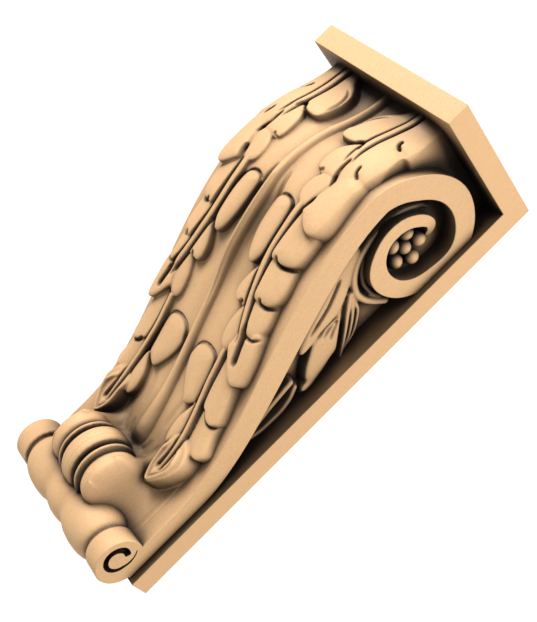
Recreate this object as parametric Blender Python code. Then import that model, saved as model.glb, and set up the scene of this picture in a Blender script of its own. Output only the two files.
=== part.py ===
"""Acanthus corbel: one piece of carved wood that is fixed to a wall by its back plate.

X runs across the corbel, -Y runs out from the wall and +Z runs up. The origin is at the middle of the
plate's back face, which is the mount. The sizes below are in millimetres with Z counted from the foot of
the plate, and to_metres turns them into the model's frame.
"""

import math
from collections import namedtuple

import bmesh
import bpy
import numpy as np

# Overall sizes
HEIGHT = 300.0
WIDTH = 124.4
PROJECTION = 93.3
ABACUS_THICKNESS = 13.9
PLATE_THICKNESS = 13.4
ABACUS_UNDERSIDE = HEIGHT - ABACUS_THICKNESS

# The side bands stand proud of a recessed wall on each side
BAND_FACE = 58.0
RECESS_WALL = 46.0
BAND_ROOT = 43.0

# Front curve of the body: upright at the foot, then an S up to the belly, then back in to the abacus
FOOT_FRONT = -24.9
FOOT_TOP = 43.4
BELLY_FRONT = -88.4
VOLUTE_LEVEL = 236.0
NECK_FRONT = -76.0
FRONT_HANDLES = (57.8, 72.7)
NECK_HANDLES = (16.0, 22.0)
LEAF_DATUM = 17.5

# Core of the body, which lies under the carved front
CORE_INSET = 3.0
CORE_FOOT = 1.5
NECK_INSET = 5.0
NECK_LEVEL = 272.0
OVERLAP = 4.0

# Rear edge of the side band, from the foot up to the volute
BAND_BACK_FOOT = -13.9
BAND_BACK_TOP = 55.5
BAND_BACK_HANDLES = (51.3, 51.4)
BAND_FOOT = 1.0
BAND_FOOT_TOP = 22.0

# Volute: radii of both edges of its band at each eighth of a turn, from the front over the top
VOLUTE_CENTRE = (-43.0, VOLUTE_LEVEL)
OUTER_RADII = (45.4, 41.4, 42.3, 41.7, 34.0, 32.1, 30.3, 24.0, 20.4, 18.5, 18.4, 16.0, 11.0)
INNER_RADII = (31.5, 26.8, 28.1, 28.9, 23.0, 21.1, 18.4, 15.3, 11.9, 10.9, 12.4, 11.7, 10.0)
VOLUTE_END = 490.0
VOLUTE_STEP = 14.0

# Eye of the volute: a ball with five more around it
EYE_CENTRE = (-39.0, 233.5)
EYE_DEPTH = 51.8
BALL_RADIUS = 4.8
BALL_RING = 9.3
BALLS_AROUND = 5
BALL_ROOT_RADIUS = 3.0
MIDDLE_BALL_SCALE = 0.92
BALL_LATITUDES = (-30.0, 0.0, 30.0, 64.0)

# Small scroll and bolster at the foot, turned on one axis across the corbel
SCROLL_AXIS = (-29.0, 6.0)
SCROLL_RADIUS = 14.7
BOLSTER_STATIONS = (
    (0.0, 16.5), (6.0, 16.0), (10.5, 14.9), (15.0, 16.1), (21.0, 17.1), (27.0, 17.5), (34.0, 16.9), (39.5, 15.4),
    (42.2, 13.6), (44.2, 13.6), (46.0, 14.6), (BAND_FACE, SCROLL_RADIUS),
)

# Gouged spiral in the end of the small scroll: degrees from the wall side over the top, radius, half width
GROOVE_CENTRE = (-31.5, 6.3)
GROOVE_STATIONS = (
    (62.0, 6.4, 1.7), (100.0, 6.9, 1.8), (165.0, 6.8, 1.7), (274.0, 7.0, 1.5), (342.0, 6.7, 1.1), (385.0, 8.6, 0.6),
    (415.0, 10.8, 0.4),
)
GROOVE_STEP = 14.0
GROOVE_DEPTH = 3.0
GROOVE_ABOVE = 2.0
GROOVE_FLOOR_SHARE = 0.5

# Ribbed collar above the bolster: half width across, centre out from the wall, centre level, radius
COLLAR_STATIONS = (
    (0.0, -38.0, 30.0, 20.3), (6.3, -38.0, 30.0, 20.6), (7.2, -38.0, 30.0, 16.6), (8.8, -38.0, 30.0, 16.6),
    (9.6, -38.0, 30.0, 19.2), (12.0, -38.0, 30.0, 19.6), (13.0, -38.0, 30.0, 16.9), (14.8, -38.0, 30.0, 16.4),
    (16.5, -38.2, 30.0, 17.8), (20.0, -38.4, 30.0, 18.5), (25.0, -38.4, 29.8, 18.4), (29.5, -37.2, 29.0, 17.2),
    (33.5, -34.0, 27.0, 15.0), (38.0, -29.5, 24.0, 12.0), (43.5, -22.0, 20.0, 7.0),
)

# Ground of the front between the leaves: crown at the middle for each distance along the curve
GROUND_CROWN = (
    (0.0, 1.0), (40.0, 3.0), (70.0, 4.0), (135.0, 4.0), (155.0, 6.5), (178.0, 8.5), (205.0, 8.5), (222.0, 6.0),
    (240.0, 2.0), (290.0, 1.0),
)
GROUND_EDGE = 0.9
GROUND_HALF = 44.0
GROUND_DIVE = -2.5
GROUND_DIVE_WIDTH = 3.5
FRONT_HALF = 57.0
ROOT_HALF = 43.3
ROOT_DEPTH = 7.0

# Central rib with a bulb at its foot: distance along the curve, half width, height over the ground
RIB_STATIONS = (
    (34.0, 3.0, 0.0), (38.0, 6.2, 3.2), (46.0, 7.2, 4.4), (58.0, 5.8, 4.0), (75.0, 4.2, 3.6), (120.0, 3.4, 3.4),
    (290.0, 3.4, 3.4),
)
RIB_VALLEY = 2.2
RIB_VALLEY_OFFSET = 7.0
RIB_VALLEY_SPREAD = 3.2
RIB_VALLEY_START = 30.0

# Leaf lobes of one side, as round cones laid on the front: places are (across, along the curve)
Lobe = namedtuple("Lobe", "root tip radii levels")
TOP_LEAF = (
    Lobe((26.0, 286.0), (18.5, 251.5), (9.0, 9.0), (5.5, 7.8)),
    Lobe((29.0, 250.0), (23.6, 228.5), (6.0, 6.5), (6.8, 8.0)),
    Lobe((33.0, 232.0), (28.6, 210.3), (6.0, 6.7), (7.6, 9.5)),
    Lobe((36.5, 286.0), (44.0, 262.8), (6.5, 8.0), (8.0, 9.4)),
    Lobe((37.0, 260.0), (43.4, 239.4), (6.5, 8.4), (7.0, 8.6)),
    Lobe((38.0, 240.0), (45.0, 207.0), (6.5, 11.0), (7.5, 10.5)),
)
MIDDLE_LEAF = (
    Lobe((17.0, 193.3), (18.2, 170.6), (8.4, 6.2), (9.0, 10.0)),
    Lobe((27.5, 166.0), (24.6, 149.2), (4.0, 5.8), (8.8, 9.4)),
    Lobe((30.0, 143.0), (29.5, 124.6), (5.0, 6.2), (6.6, 7.8)),
    Lobe((35.5, 204.0), (42.4, 183.6), (7.5, 8.6), (5.5, 8.0)),
    Lobe((36.5, 180.0), (43.0, 161.6), (6.5, 8.4), (5.8, 7.8)),
    Lobe((38.0, 158.0), (44.0, 142.2), (5.5, 7.8), (5.6, 7.4)),
    Lobe((40.0, 138.0), (46.4, 116.6), (6.5, 9.2), (6.4, 10.0)),
)
LOWER_LEAF = (
    Lobe((17.0, 101.0), (20.2, 84.2), (10.2, 7.2), (6.6, 8.2)),
    Lobe((29.5, 77.0), (26.0, 57.2), (2.2, 5.4), (7.0, 9.4)),
    Lobe((36.5, 112.0), (43.4, 89.2), (6.5, 9.2), (5.2, 8.8)),
    Lobe((38.5, 86.0), (46.0, 67.2), (5.5, 9.2), (5.8, 9.6)),
    Lobe((37.5, 62.0), (36.6, 32.0), (9.0, 6.0), (8.4, 12.5)),
)
LEAVES = (LOWER_LEAF, MIDDLE_LEAF, TOP_LEAF)

# Blade that carries each leaf's lobes, and its raised midrib
Blade = namedtuple("Blade", "path half_width level rib_half rib_height")
BLADES = (
    Blade(((31.0, 112.0), (31.6, 95.0), (33.4, 78.0), (35.6, 60.0), (36.5, 40.0)), 4.6, 7.0, 3.0, 1.7),
    Blade(((29.5, 204.0), (28.8, 180.0), (29.6, 166.0), (33.2, 150.0), (38.4, 131.0), (43.0, 118.0)),
          4.6, 7.6, 3.0, 1.7),
    Blade(((35.0, 286.0), (32.4, 262.0), (31.4, 248.0), (33.0, 234.0), (38.0, 218.0)), 4.8, 6.6, 3.0, 1.7),
)

# Shape of every lobe: how far its edge lies under its crown, how steep its side is, how much its tip overhangs
LOBE_CROWN = 2.4
LOBE_ROUNDNESS = 2.2
CLIFF = 2.4
UNDERCUT = 0.2
TYPICAL_STEP = 5.0
RIDGE_CROWN = 0.6

# Carving on the recessed wall, as (out from the wall, level): a husk round the volute and a leaf below it
SIDE_LEAF = (
    Lobe((-50.0, 197.0), (-36.5, 169.0), (4.5, 7.4), (5.0, 7.0)),
    Lobe((-38.0, 188.0), (-26.0, 155.0), (7.0, 6.6), (5.0, 7.6)),
    Lobe((-58.5, 194.0), (-47.0, 168.0), (2.4, 2.4), (4.0, 4.6)),
    Lobe((-44.0, 172.0), (-39.6, 157.5), (2.2, 3.2), (4.0, 5.6)),
    Lobe((-23.5, 166.0), (-20.0, 147.0), (3.0, 5.0), (4.4, 6.4)),
    Lobe((-19.0, 168.0), (-15.8, 148.0), (3.0, 6.0), (2.0, 3.4)),
    Lobe((-41.5, 194.0), (-17.0, 172.5), (4.2, 2.6), (5.6, 4.4)),
)
HUSK_EDGE = (
    (-50.0, 257.0), (-58.0, 254.0), (-63.0, 245.0), (-64.0, 232.0), (-61.5, 215.0), (-55.5, 205.0), (-45.0, 199.0),
    (-35.0, 199.0), (-24.0, 206.0),
)
HUSK_FOLD = ((-60.5, 236.0), (-60.0, 220.0), (-54.0, 209.5), (-44.0, 205.2), (-32.0, 205.6), (-25.0, 207.5))
SIDE_STALKS = (
    (((-25.5, 138.0), (-25.0, 128.0), (-21.5, 112.0)), 2.2, 4.8),
    (((-19.5, 139.0), (-16.2, 124.0), (-17.5, 106.0)), 2.0, 4.6),
    (HUSK_EDGE, 2.0, 6.4),
    (HUSK_FOLD, 1.7, 5.4),
)
SIDE_LEVELS = (98.0, 262.0)
SIDE_REAR = -12.0
SIDE_UNDER_BAND = 4.0
SIDE_FLOOR = -1.2
SIDE_CLIFF = 2.5

# Fineness of the meshes
FRONT_GRID = (56, 180)
SIDE_GRID = (36, 104)
FRONT_FACES = 4140
SIDE_FACES = 530
TURNED_SEGMENTS = 22
BALL_SEGMENTS = 8
FRONT_STEPS = 18
BACK_STEPS = 14
RULER_STEPS = 200
METRE = 0.001

# Carved and sanded light hardwood, unpainted
WOOD_COLOUR = (0.832, 0.578, 0.342, 1.0)
WOOD_ROUGHNESS = 0.62


def clear_scene():
    """Removes every object of the open scene."""
    for found in list(bpy.data.objects):
        bpy.data.objects.remove(found, do_unlink=True)


def wood_material():
    """The corbel's one finish."""
    material = bpy.data.materials.new("carved_wood")
    material.use_nodes = True
    shader = material.node_tree.nodes["Principled BSDF"]
    shader.inputs["Base Color"].default_value = WOOD_COLOUR
    shader.inputs["Roughness"].default_value = WOOD_ROUGHNESS
    shader.inputs["Metallic"].default_value = 0.0
    return material


def to_metres(x, y, z):
    """A point of the model's frame from millimetres with the level counted from the plate's foot."""
    return (x * METRE, y * METRE, (z - HEIGHT / 2) * METRE)


def object_of(name, mesh_builder):
    """A linked object whose mesh is what the bmesh holds, in triangles that face outwards."""
    bmesh.ops.recalc_face_normals(mesh_builder, faces=mesh_builder.faces[:])
    bmesh.ops.triangulate(mesh_builder, faces=mesh_builder.faces[:])
    mesh = bpy.data.meshes.new(name)
    mesh_builder.to_mesh(mesh)
    mesh_builder.free()
    made = bpy.data.objects.new(name, mesh)
    bpy.context.scene.collection.objects.link(made)
    return made


def extruded(name, outline, left, right):
    """A solid of constant section, whose outline is (y, z) points, from left to right across the corbel."""
    builder = bmesh.new()
    face = builder.faces.new([builder.verts.new(to_metres(left, y, z)) for y, z in outline])
    swept = bmesh.ops.extrude_face_region(builder, geom=[face])
    moved = [item for item in swept["geom"] if isinstance(item, bmesh.types.BMVert)]
    bmesh.ops.translate(builder, verts=moved, vec=((right - left) * METRE, 0.0, 0.0))
    return object_of(name, builder)


def turned(name, stations, segments):
    """A solid turned round an axis across the corbel: stations are (x, centre y, centre z, radius)."""
    builder = bmesh.new()
    rings = []
    for x, y, z, radius in stations:
        angles = [2 * math.pi * k / segments for k in range(segments)]
        points = [(x, y + radius * math.cos(angle), z + radius * math.sin(angle)) for angle in angles]
        rings.append([builder.verts.new(to_metres(*point)) for point in points])
    for near, far in zip(rings, rings[1:]):
        for k in range(segments):
            after = (k + 1) % segments
            builder.faces.new((near[k], near[after], far[after], far[k]))
    builder.faces.new(rings[0])
    builder.faces.new(rings[-1])
    return object_of(name, builder)


def mirrored(stations):
    """Stations of one half and their mirror images, in order across the corbel."""
    other = [(-station[0], *station[1:]) for station in reversed(stations) if station[0] > 0]
    return other + list(stations)


def bezier(points, steps):
    """Points along the cubic curve of four control points, the last one left out."""
    p0, p1, p2, p3 = (np.array(point) for point in points)
    t = (np.arange(steps) / steps)[:, None]
    return (1 - t) ** 3 * p0 + 3 * (1 - t) ** 2 * t * p1 + 3 * (1 - t) * t**2 * p2 + t**3 * p3


def upright_curve(foot, top, handles, steps):
    """A curve between two (y, z) points that is upright at both."""
    controls = (foot, (foot[0], foot[1] + handles[0]), (top[0], top[1] - handles[1]), top)
    return bezier(controls, steps)


def eighth_turn_radius(radii, degrees):
    """A radius between its values at each eighth of a turn, on a smooth curve through them."""
    values = [2 * radii[0] - radii[1], *radii, 2 * radii[-1] - radii[-2]]
    index = min(int(degrees // 45), len(radii) - 2)
    t = degrees / 45 - index
    a, b, c, d = values[index:index + 4]
    return 0.5 * (2 * b + (c - a) * t + (2 * a - 5 * b + 4 * c - d) * t**2 + (3 * b - a - 3 * c + d) * t**3)


def volute_edge(radii):
    """One edge of the volute's band, from the front over the top and inwards to its end."""
    edge = []
    for degrees in np.arange(0.0, VOLUTE_END + 0.1, VOLUTE_STEP):
        radius = eighth_turn_radius(radii, degrees)
        turn = math.radians(degrees)
        edge.append((VOLUTE_CENTRE[0] - radius * math.cos(turn), VOLUTE_CENTRE[1] + radius * math.sin(turn)))
    return edge


def body_front(steps):
    """The S of the front, from the foot of the leaves to the level of the volute's centre."""
    return upright_curve((FOOT_FRONT, FOOT_TOP), (BELLY_FRONT, VOLUTE_LEVEL), FRONT_HANDLES, steps)


def band_back_curve(steps):
    """The rear edge of a side band, from above its foot to the level of the volute's centre."""
    top = (VOLUTE_CENTRE[0] - INNER_RADII[0], VOLUTE_LEVEL)
    return upright_curve((BAND_BACK_FOOT, BAND_BACK_TOP), top, BAND_BACK_HANDLES, steps)


def band_outline():
    """Outline of a side band: up the front, round the volute, back along its inner edge and down."""
    front = [(FOOT_FRONT, BAND_FOOT), (FOOT_FRONT, BAND_FOOT_TOP), *map(tuple, body_front(FRONT_STEPS))]
    back = [(BAND_BACK_FOOT, BAND_FOOT), *map(tuple, band_back_curve(BACK_STEPS))]
    return front + volute_edge(OUTER_RADII) + volute_edge(INNER_RADII)[::-1] + back[::-1]


class FrontCurve:
    """The front of the body as a ruler: places along it, their points and the directions out of it."""

    def __init__(self):
        top = (NECK_FRONT, ABACUS_UNDERSIDE + OVERLAP)
        foot = np.array([(FOOT_FRONT, z) for z in np.linspace(CORE_FOOT, FOOT_TOP, FRONT_STEPS)[:-1]])
        neck = upright_curve((BELLY_FRONT, VOLUTE_LEVEL), top, NECK_HANDLES, RULER_STEPS)
        self.points = np.concatenate([foot, body_front(RULER_STEPS), neck, np.array([top])])
        steps = np.hypot(*np.diff(self.points, axis=0).T)
        self.along = np.concatenate([[0.0], np.cumsum(steps)]) - (LEAF_DATUM - self.points[0, 1])
        slopes = np.gradient(self.points, self.along, axis=0)
        self.tangents = slopes / np.hypot(*slopes.T)[:, None]

    def place(self, s, out):
        """The (y, z) point that stands out from the curve at the distance s along it."""
        y, z = (np.interp(s, self.along, self.points[:, k]) for k in (0, 1))
        ty, tz = (np.interp(s, self.along, self.tangents[:, k]) for k in (0, 1))
        return y - tz * out, z + ty * out


def between(stations, column, s):
    """A column of a table of stations, read at s along it."""
    table = np.array(stations)
    return np.interp(s, table[:, 0], table[:, column])


def distance_to_path(u, v, path):
    """The distance from (u, v) to a line of points."""
    nearest = np.full(np.shape(u), np.inf)
    for (u0, v0), (u1, v1) in zip(path, path[1:]):
        du, dv = u1 - u0, v1 - v0
        t = np.clip(((u - u0) * du + (v - v0) * dv) / (du * du + dv * dv), 0.0, 1.0)
        nearest = np.minimum(nearest, np.hypot(u - u0 - t * du, v - v0 - t * dv))
    return nearest


def lobe_height(u, v, lobe, cliff):
    """Height of a domed lobe at (u, v). Outside its round outline it falls away steeply."""
    (u0, v0), (u1, v1) = lobe.root, lobe.tip
    du, dv = u1 - u0, v1 - v0
    t = np.clip(((u - u0) * du + (v - v0) * dv) / (du * du + dv * dv), 0.0, 1.0)
    radius = lobe.radii[0] + (lobe.radii[1] - lobe.radii[0]) * t
    outside = np.hypot(u - u0 - t * du, v - v0 - t * dv) - radius
    level = lobe.levels[0] + (lobe.levels[1] - lobe.levels[0]) * t
    depth = np.clip(-outside / radius, 0.0, 1.0)
    dome = LOBE_CROWN * (1 - (1 - depth) ** LOBE_ROUNDNESS)
    return level - LOBE_CROWN + dome - cliff * np.maximum(outside, 0.0)


def ridge_height(u, v, path, half_width, level, cliff):
    """Height of a round-backed ridge that follows a path."""
    away = distance_to_path(u, v, path) / half_width
    crown = half_width * RIDGE_CROWN
    rise = crown * np.sqrt(np.clip(1 - away**2, 0.0, 1.0))
    return level - crown + rise - cliff * half_width * np.maximum(away - 1, 0.0)


def ground_height(x, s):
    """Height of the bare front between the leaves, with the central rib and the valleys beside it."""
    across = np.abs(x)
    crown = between(GROUND_CROWN, 1, s) * np.clip(1 - (across / GROUND_HALF) ** 2.5, 0.0, 1.0)
    edge = np.interp(across, (GROUND_HALF, GROUND_HALF + GROUND_DIVE_WIDTH), (GROUND_EDGE, GROUND_DIVE))
    valley = RIB_VALLEY * np.exp(-((across - RIB_VALLEY_OFFSET) / RIB_VALLEY_SPREAD) ** 2)
    half = between(RIB_STATIONS, 1, s)
    rib = between(RIB_STATIONS, 2, s) * np.clip(1 - (across / half) ** 2, 0.0, 1.0) ** 0.6
    return crown + edge - np.where(s > RIB_VALLEY_START, valley, 0.0) + rib


def leaf_height(x, s):
    """Height of the carved leaves, each with its lobes, its blade and its midrib."""
    across = np.abs(x)
    height = np.full(np.shape(x), GROUND_DIVE)
    for lobes, blade in zip(LEAVES, BLADES):
        away = distance_to_path(across, s, blade.path)
        leaf = blade.level - CLIFF * np.maximum(away - blade.half_width, 0.0)
        for lobe in lobes:
            leaf = np.maximum(leaf, lobe_height(across, s, lobe, CLIFF))
        rib = blade.rib_height * np.clip(1 - (away / blade.rib_half) ** 2, 0.0, 1.0)
        height = np.maximum(height, leaf + rib)
    return height


def front_relief(x, s):
    """Height out of the front curve, and how far that part of the carving leans down over what is below."""
    ground = ground_height(x, s)
    height = np.maximum(ground, leaf_height(x, s - UNDERCUT * TYPICAL_STEP))
    return height, UNDERCUT * (height - ground)


def side_relief(y, z):
    """Height of the carving out of the recessed wall."""
    height = np.full(np.shape(y), SIDE_FLOOR)
    for lobe in SIDE_LEAF:
        height = np.maximum(height, lobe_height(y, z, lobe, SIDE_CLIFF))
    for path, half_width, level in SIDE_STALKS:
        height = np.maximum(height, ridge_height(y, z, path, half_width, level, SIDE_CLIFF))
    return height


def relief_block(name, grid, face_place, root_place, faces):
    """A closed block with a carved face. The places take arrays from 0 to 1 across and along it."""
    builder = bmesh.new()
    bmesh.ops.create_grid(builder, x_segments=grid[0], y_segments=grid[1], size=0.5)
    carved = list(builder.verts)
    u, v = (np.array([vert.co[k] + 0.5 for vert in carved]) for k in (0, 1))
    swept = bmesh.ops.extrude_face_region(builder, geom=builder.faces[:])
    root = [item for item in swept["geom"] if isinstance(item, bmesh.types.BMVert)]
    root_u, root_v = (np.array([vert.co[k] + 0.5 for vert in root]) for k in (0, 1))
    for verts, places in ((carved, face_place(u, v)), (root, root_place(root_u, root_v))):
        for vert, x, y, z in zip(verts, *places):
            vert.co = to_metres(x, y, z)
    made = object_of(name, builder)
    thin = made.modifiers.new("fewer_faces", "DECIMATE")
    thin.ratio = faces / (4 * grid[0] * grid[1])
    return made


def front_block():
    """The whole carved front, from the foot up into the abacus."""
    curve = FrontCurve()
    first, last = curve.along[0], curve.along[-1]

    def face_place(u, v):
        x = (u - 0.5) * 2 * FRONT_HALF
        s = first + v * (last - first)
        height, lean = front_relief(x, s)
        y, z = curve.place(np.maximum(s - lean, first), height)
        return x, y, z

    def root_place(u, v):
        s = first + v * (last - first)
        y, z = curve.place(s, np.full(np.shape(s), -ROOT_DEPTH))
        return (u - 0.5) * 2 * ROOT_HALF, y, z

    return relief_block("front_carving", FRONT_GRID, face_place, root_place, FRONT_FACES)


def side_block(name, side):
    """The carving on one recessed wall. The side is 1 on the right and -1 on the left."""
    band_back = np.array(band_back_curve(RULER_STEPS))

    def wall_place(u, v):
        z = SIDE_LEVELS[0] + v * (SIDE_LEVELS[1] - SIDE_LEVELS[0])
        front = np.interp(z, band_back[:, 1], band_back[:, 0]) - SIDE_UNDER_BAND
        return front + u * (SIDE_REAR - front), z

    def face_place(u, v):
        y, z = wall_place(u, v)
        return side * (RECESS_WALL + side_relief(y, z)), y, z

    def root_place(u, v):
        y, z = wall_place(u, v)
        return np.full(np.shape(u), side * (RECESS_WALL - OVERLAP)), y, z

    return relief_block(name, SIDE_GRID, face_place, root_place, SIDE_FACES)


def eye_balls(name, side):
    """The rosette in the volute's eye: a ball and the ring of balls round it, rooted in the wall."""
    places = [(0.0, 0.0)]
    for k in range(BALLS_AROUND):
        turn = 2 * math.pi * k / BALLS_AROUND
        places.append((BALL_RING * math.cos(turn), BALL_RING * math.sin(turn)))
    sphere = [(math.sin(math.radians(turn)), math.cos(math.radians(turn))) for turn in BALL_LATITUDES]
    balls = []
    for number, (dy, dz) in enumerate(places):
        radius = BALL_RADIUS * (MIDDLE_BALL_SCALE if number == 0 else 1.0)
        centre = (EYE_CENTRE[0] + dy, EYE_CENTRE[1] + dz)
        rings = [(side * (RECESS_WALL - OVERLAP), *centre, BALL_ROOT_RADIUS)]
        rings += [(side * (EYE_DEPTH + rise * radius), *centre, reach * radius) for rise, reach in sphere]
        balls.append(turned(f"{name}_{number}", rings, BALL_SEGMENTS))
    return balls


def scroll_groove(name, side):
    """Cutter for the spiral that is gouged into the end of the small scroll."""
    first, last = GROOVE_STATIONS[0][0], GROOVE_STATIONS[-1][0]
    floor, mouth = side * (BAND_FACE - GROOVE_DEPTH), side * (BAND_FACE + GROOVE_ABOVE)
    builder = bmesh.new()
    rings = []
    for degrees in np.arange(first, last, GROOVE_STEP):
        turn = math.radians(degrees)
        radius, half = (between(GROOVE_STATIONS, column, degrees) for column in (1, 2))
        edge = half * GROOVE_FLOOR_SHARE
        ring = []
        for x, reach in ((floor, -edge), (floor, edge), (mouth, half), (mouth, -half)):
            y = GROOVE_CENTRE[0] + (radius + reach) * math.cos(turn)
            z = GROOVE_CENTRE[1] + (radius + reach) * math.sin(turn)
            ring.append(builder.verts.new(to_metres(x, y, z)))
        rings.append(ring)
    for near, far in zip(rings, rings[1:]):
        for k, corner in enumerate(near):
            after = (k + 1) % len(near)
            builder.faces.new((corner, near[after], far[after], far[k]))
    builder.faces.new(rings[0])
    builder.faces.new(rings[-1])
    return object_of(name, builder)


def combine(base, other, operation):
    """Joins the other object to the base, or cuts it out, and hides it as a helper."""
    step = base.modifiers.new(f"{operation.lower()}_{other.name}", "BOOLEAN")
    step.operation = operation
    step.solver = "EXACT"
    step.object = other
    other.hide_render = True
    other.display_type = "WIRE"
    other.hide_set(True)


def build_corbel():
    """The corbel: plate and abacus, body, side bands with their volutes, carving, bolster and collar."""
    half = WIDTH / 2
    corbel = extruded("corbel", (
        (0.0, 0.0), (0.0, HEIGHT), (-PROJECTION, HEIGHT), (-PROJECTION, ABACUS_UNDERSIDE),
        (-PLATE_THICKNESS, ABACUS_UNDERSIDE), (-PLATE_THICKNESS, 0.0)), -half, half)
    corbel.data.materials.append(wood_material())
    front = [(y + CORE_INSET, z) for y, z in body_front(BACK_STEPS)]
    core = extruded("core", [
        (-OVERLAP, CORE_FOOT), (FOOT_FRONT + CORE_INSET, CORE_FOOT), *front,
        (BELLY_FRONT + CORE_INSET, VOLUTE_LEVEL), (NECK_FRONT + NECK_INSET, NECK_LEVEL),
        (NECK_FRONT + NECK_INSET, ABACUS_UNDERSIDE + OVERLAP),
        (-OVERLAP, ABACUS_UNDERSIDE + OVERLAP)], -RECESS_WALL, RECESS_WALL)
    combine(corbel, core, "UNION")
    combine(corbel, front_block(), "UNION")
    for name, side in (("left", -1), ("right", 1)):
        combine(corbel, extruded(f"band_{name}", band_outline(), side * BAND_ROOT, side * BAND_FACE), "UNION")
        combine(corbel, side_block(f"side_carving_{name}", side), "UNION")
        for ball in eye_balls(f"ball_{name}", side):
            combine(corbel, ball, "UNION")
    bolster = mirrored([(x, *SCROLL_AXIS, radius) for x, radius in BOLSTER_STATIONS])
    combine(corbel, turned("bolster", bolster, TURNED_SEGMENTS), "UNION")
    combine(corbel, turned("collar", mirrored(COLLAR_STATIONS), TURNED_SEGMENTS), "UNION")
    for name, side in (("left", -1), ("right", 1)):
        combine(corbel, scroll_groove(f"groove_{name}", side), "DIFFERENCE")
    return corbel


def main():
    clear_scene()
    build_corbel()


main()
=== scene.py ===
"""Looks of an acanthus corbel that is carved from one block of light wood.

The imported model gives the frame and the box. Every part of the carving is modelled here as a closed mesh in
millimetres, with X across the corbel, Y towards the wall and Z counted from the foot of the plate. All of
them are joined into one piece, because the real corbel is one piece.
"""

import logging
import math
from dataclasses import dataclass, field
from enum import Enum
from typing import Callable, Sequence

import bmesh
import bpy
import numpy as np
from mathutils import Matrix

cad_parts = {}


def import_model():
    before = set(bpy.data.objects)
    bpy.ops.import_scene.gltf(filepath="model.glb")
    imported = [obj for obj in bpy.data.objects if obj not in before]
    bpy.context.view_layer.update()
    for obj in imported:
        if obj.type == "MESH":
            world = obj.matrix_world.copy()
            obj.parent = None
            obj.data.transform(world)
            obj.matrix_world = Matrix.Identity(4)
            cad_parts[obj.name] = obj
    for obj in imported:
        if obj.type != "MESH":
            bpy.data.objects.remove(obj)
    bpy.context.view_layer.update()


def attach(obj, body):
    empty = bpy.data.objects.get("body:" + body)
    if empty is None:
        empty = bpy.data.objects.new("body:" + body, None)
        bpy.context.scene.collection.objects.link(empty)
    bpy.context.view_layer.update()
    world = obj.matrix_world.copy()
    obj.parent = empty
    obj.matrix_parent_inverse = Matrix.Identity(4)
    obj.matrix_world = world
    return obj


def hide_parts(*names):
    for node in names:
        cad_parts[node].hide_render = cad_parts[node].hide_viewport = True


LOG = logging.getLogger("corbel")

Point = tuple[float, float]
Triple = tuple[float, float, float]
Grid = tuple[np.ndarray, np.ndarray]
Places = tuple[np.ndarray, np.ndarray, np.ndarray]

MM = 0.001
NODE = "corbel"
PIECE = "carved_corbel"

# Driving sizes in millimetres
HEIGHT = 300.0
WIDTH = 124.4
PROJECTION = 93.3
ABACUS_THICKNESS = 13.9
PLATE_THICKNESS = 13.4
ABACUS_UNDERSIDE = HEIGHT - ABACUS_THICKNESS
BAND_FACE = 58.0
BAND_ROOT = 43.0
RECESS_WALL = 46.0
OVERLAP = 4.0

# How far lines and lobes are felt, and the level that stands for no carving at all
LINE_REACH = 9.0
LOBE_REACH = 8.0
NOWHERE = -20.0

TINY = 1e-6
EIGHTH_TURN = 45.0
SANDING_PASSES = 2


class Side(Enum):
    """The two sides of the corbel, as the sign of X."""

    LEFT = -1
    RIGHT = 1


def to_frame(points: np.ndarray) -> np.ndarray:
    """Turns points in millimetres from the plate's foot into metres from the middle of its back."""
    return (points - np.array((0.0, 0.0, HEIGHT / 2))) * MM


def clamped(share: np.ndarray) -> np.ndarray:
    """A share that is held between 0 and 1."""
    return np.clip(share, 0.0, 1.0)


def eased(share: np.ndarray) -> np.ndarray:
    """A share from 0 to 1 that starts and stops gently."""
    return share * share * (3 - 2 * share)


def between(ends: Sequence, share: np.ndarray) -> np.ndarray:
    """The value at a share of the way from the first of two ends to the second."""
    return ends[0] + (ends[1] - ends[0]) * share


def up_to(start: float, end: float, step: float) -> np.ndarray:
    """Values in even steps from a start to an end, both included."""
    return np.arange(start, end + step / 2, step)


def around(centre: Point, radius: np.ndarray, degrees: np.ndarray, sense: int = 1) -> list[Point]:
    """Points (y, z) round a centre, from the wall's side for sense 1 and from the front for -1."""
    angle = np.radians(degrees)
    return list(zip(centre[0] + sense * radius * np.cos(angle), centre[1] + radius * np.sin(angle)))


def smooth_line(stations: Sequence[float], values: Sequence[float], at: np.ndarray) -> np.ndarray:
    """Reads a smooth curve through stations that never swings past them, and is level beyond both ends.

    Args:
        stations: Places in rising order.
        values: The curve's values there.
        at: Where to read it.

    Returns:
        The values at those places.
    """
    x, y = np.array(stations, float), np.array(values, float)
    secants = np.diff(y) / np.diff(x)
    before, after = secants[:-1], secants[1:]
    same_way = before * after > 0
    middle = np.where(same_way, 2 * before * after / np.where(same_way, before + after, 1.0), 0.0)
    slopes = np.concatenate([secants[:1], middle, secants[-1:]])
    at = np.clip(at, x[0], x[-1])
    k = np.clip(np.searchsorted(x, at, side="right") - 1, 0, len(x) - 2)
    step = x[k + 1] - x[k]
    t = (at - x[k]) / step
    return (
        (1 + 2 * t) * (1 - t) ** 2 * y[k] + t * (1 - t) ** 2 * step * slopes[k]
        + t * t * (3 - 2 * t) * y[k + 1] + t * t * (t - 1) * step * slopes[k + 1])


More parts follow.
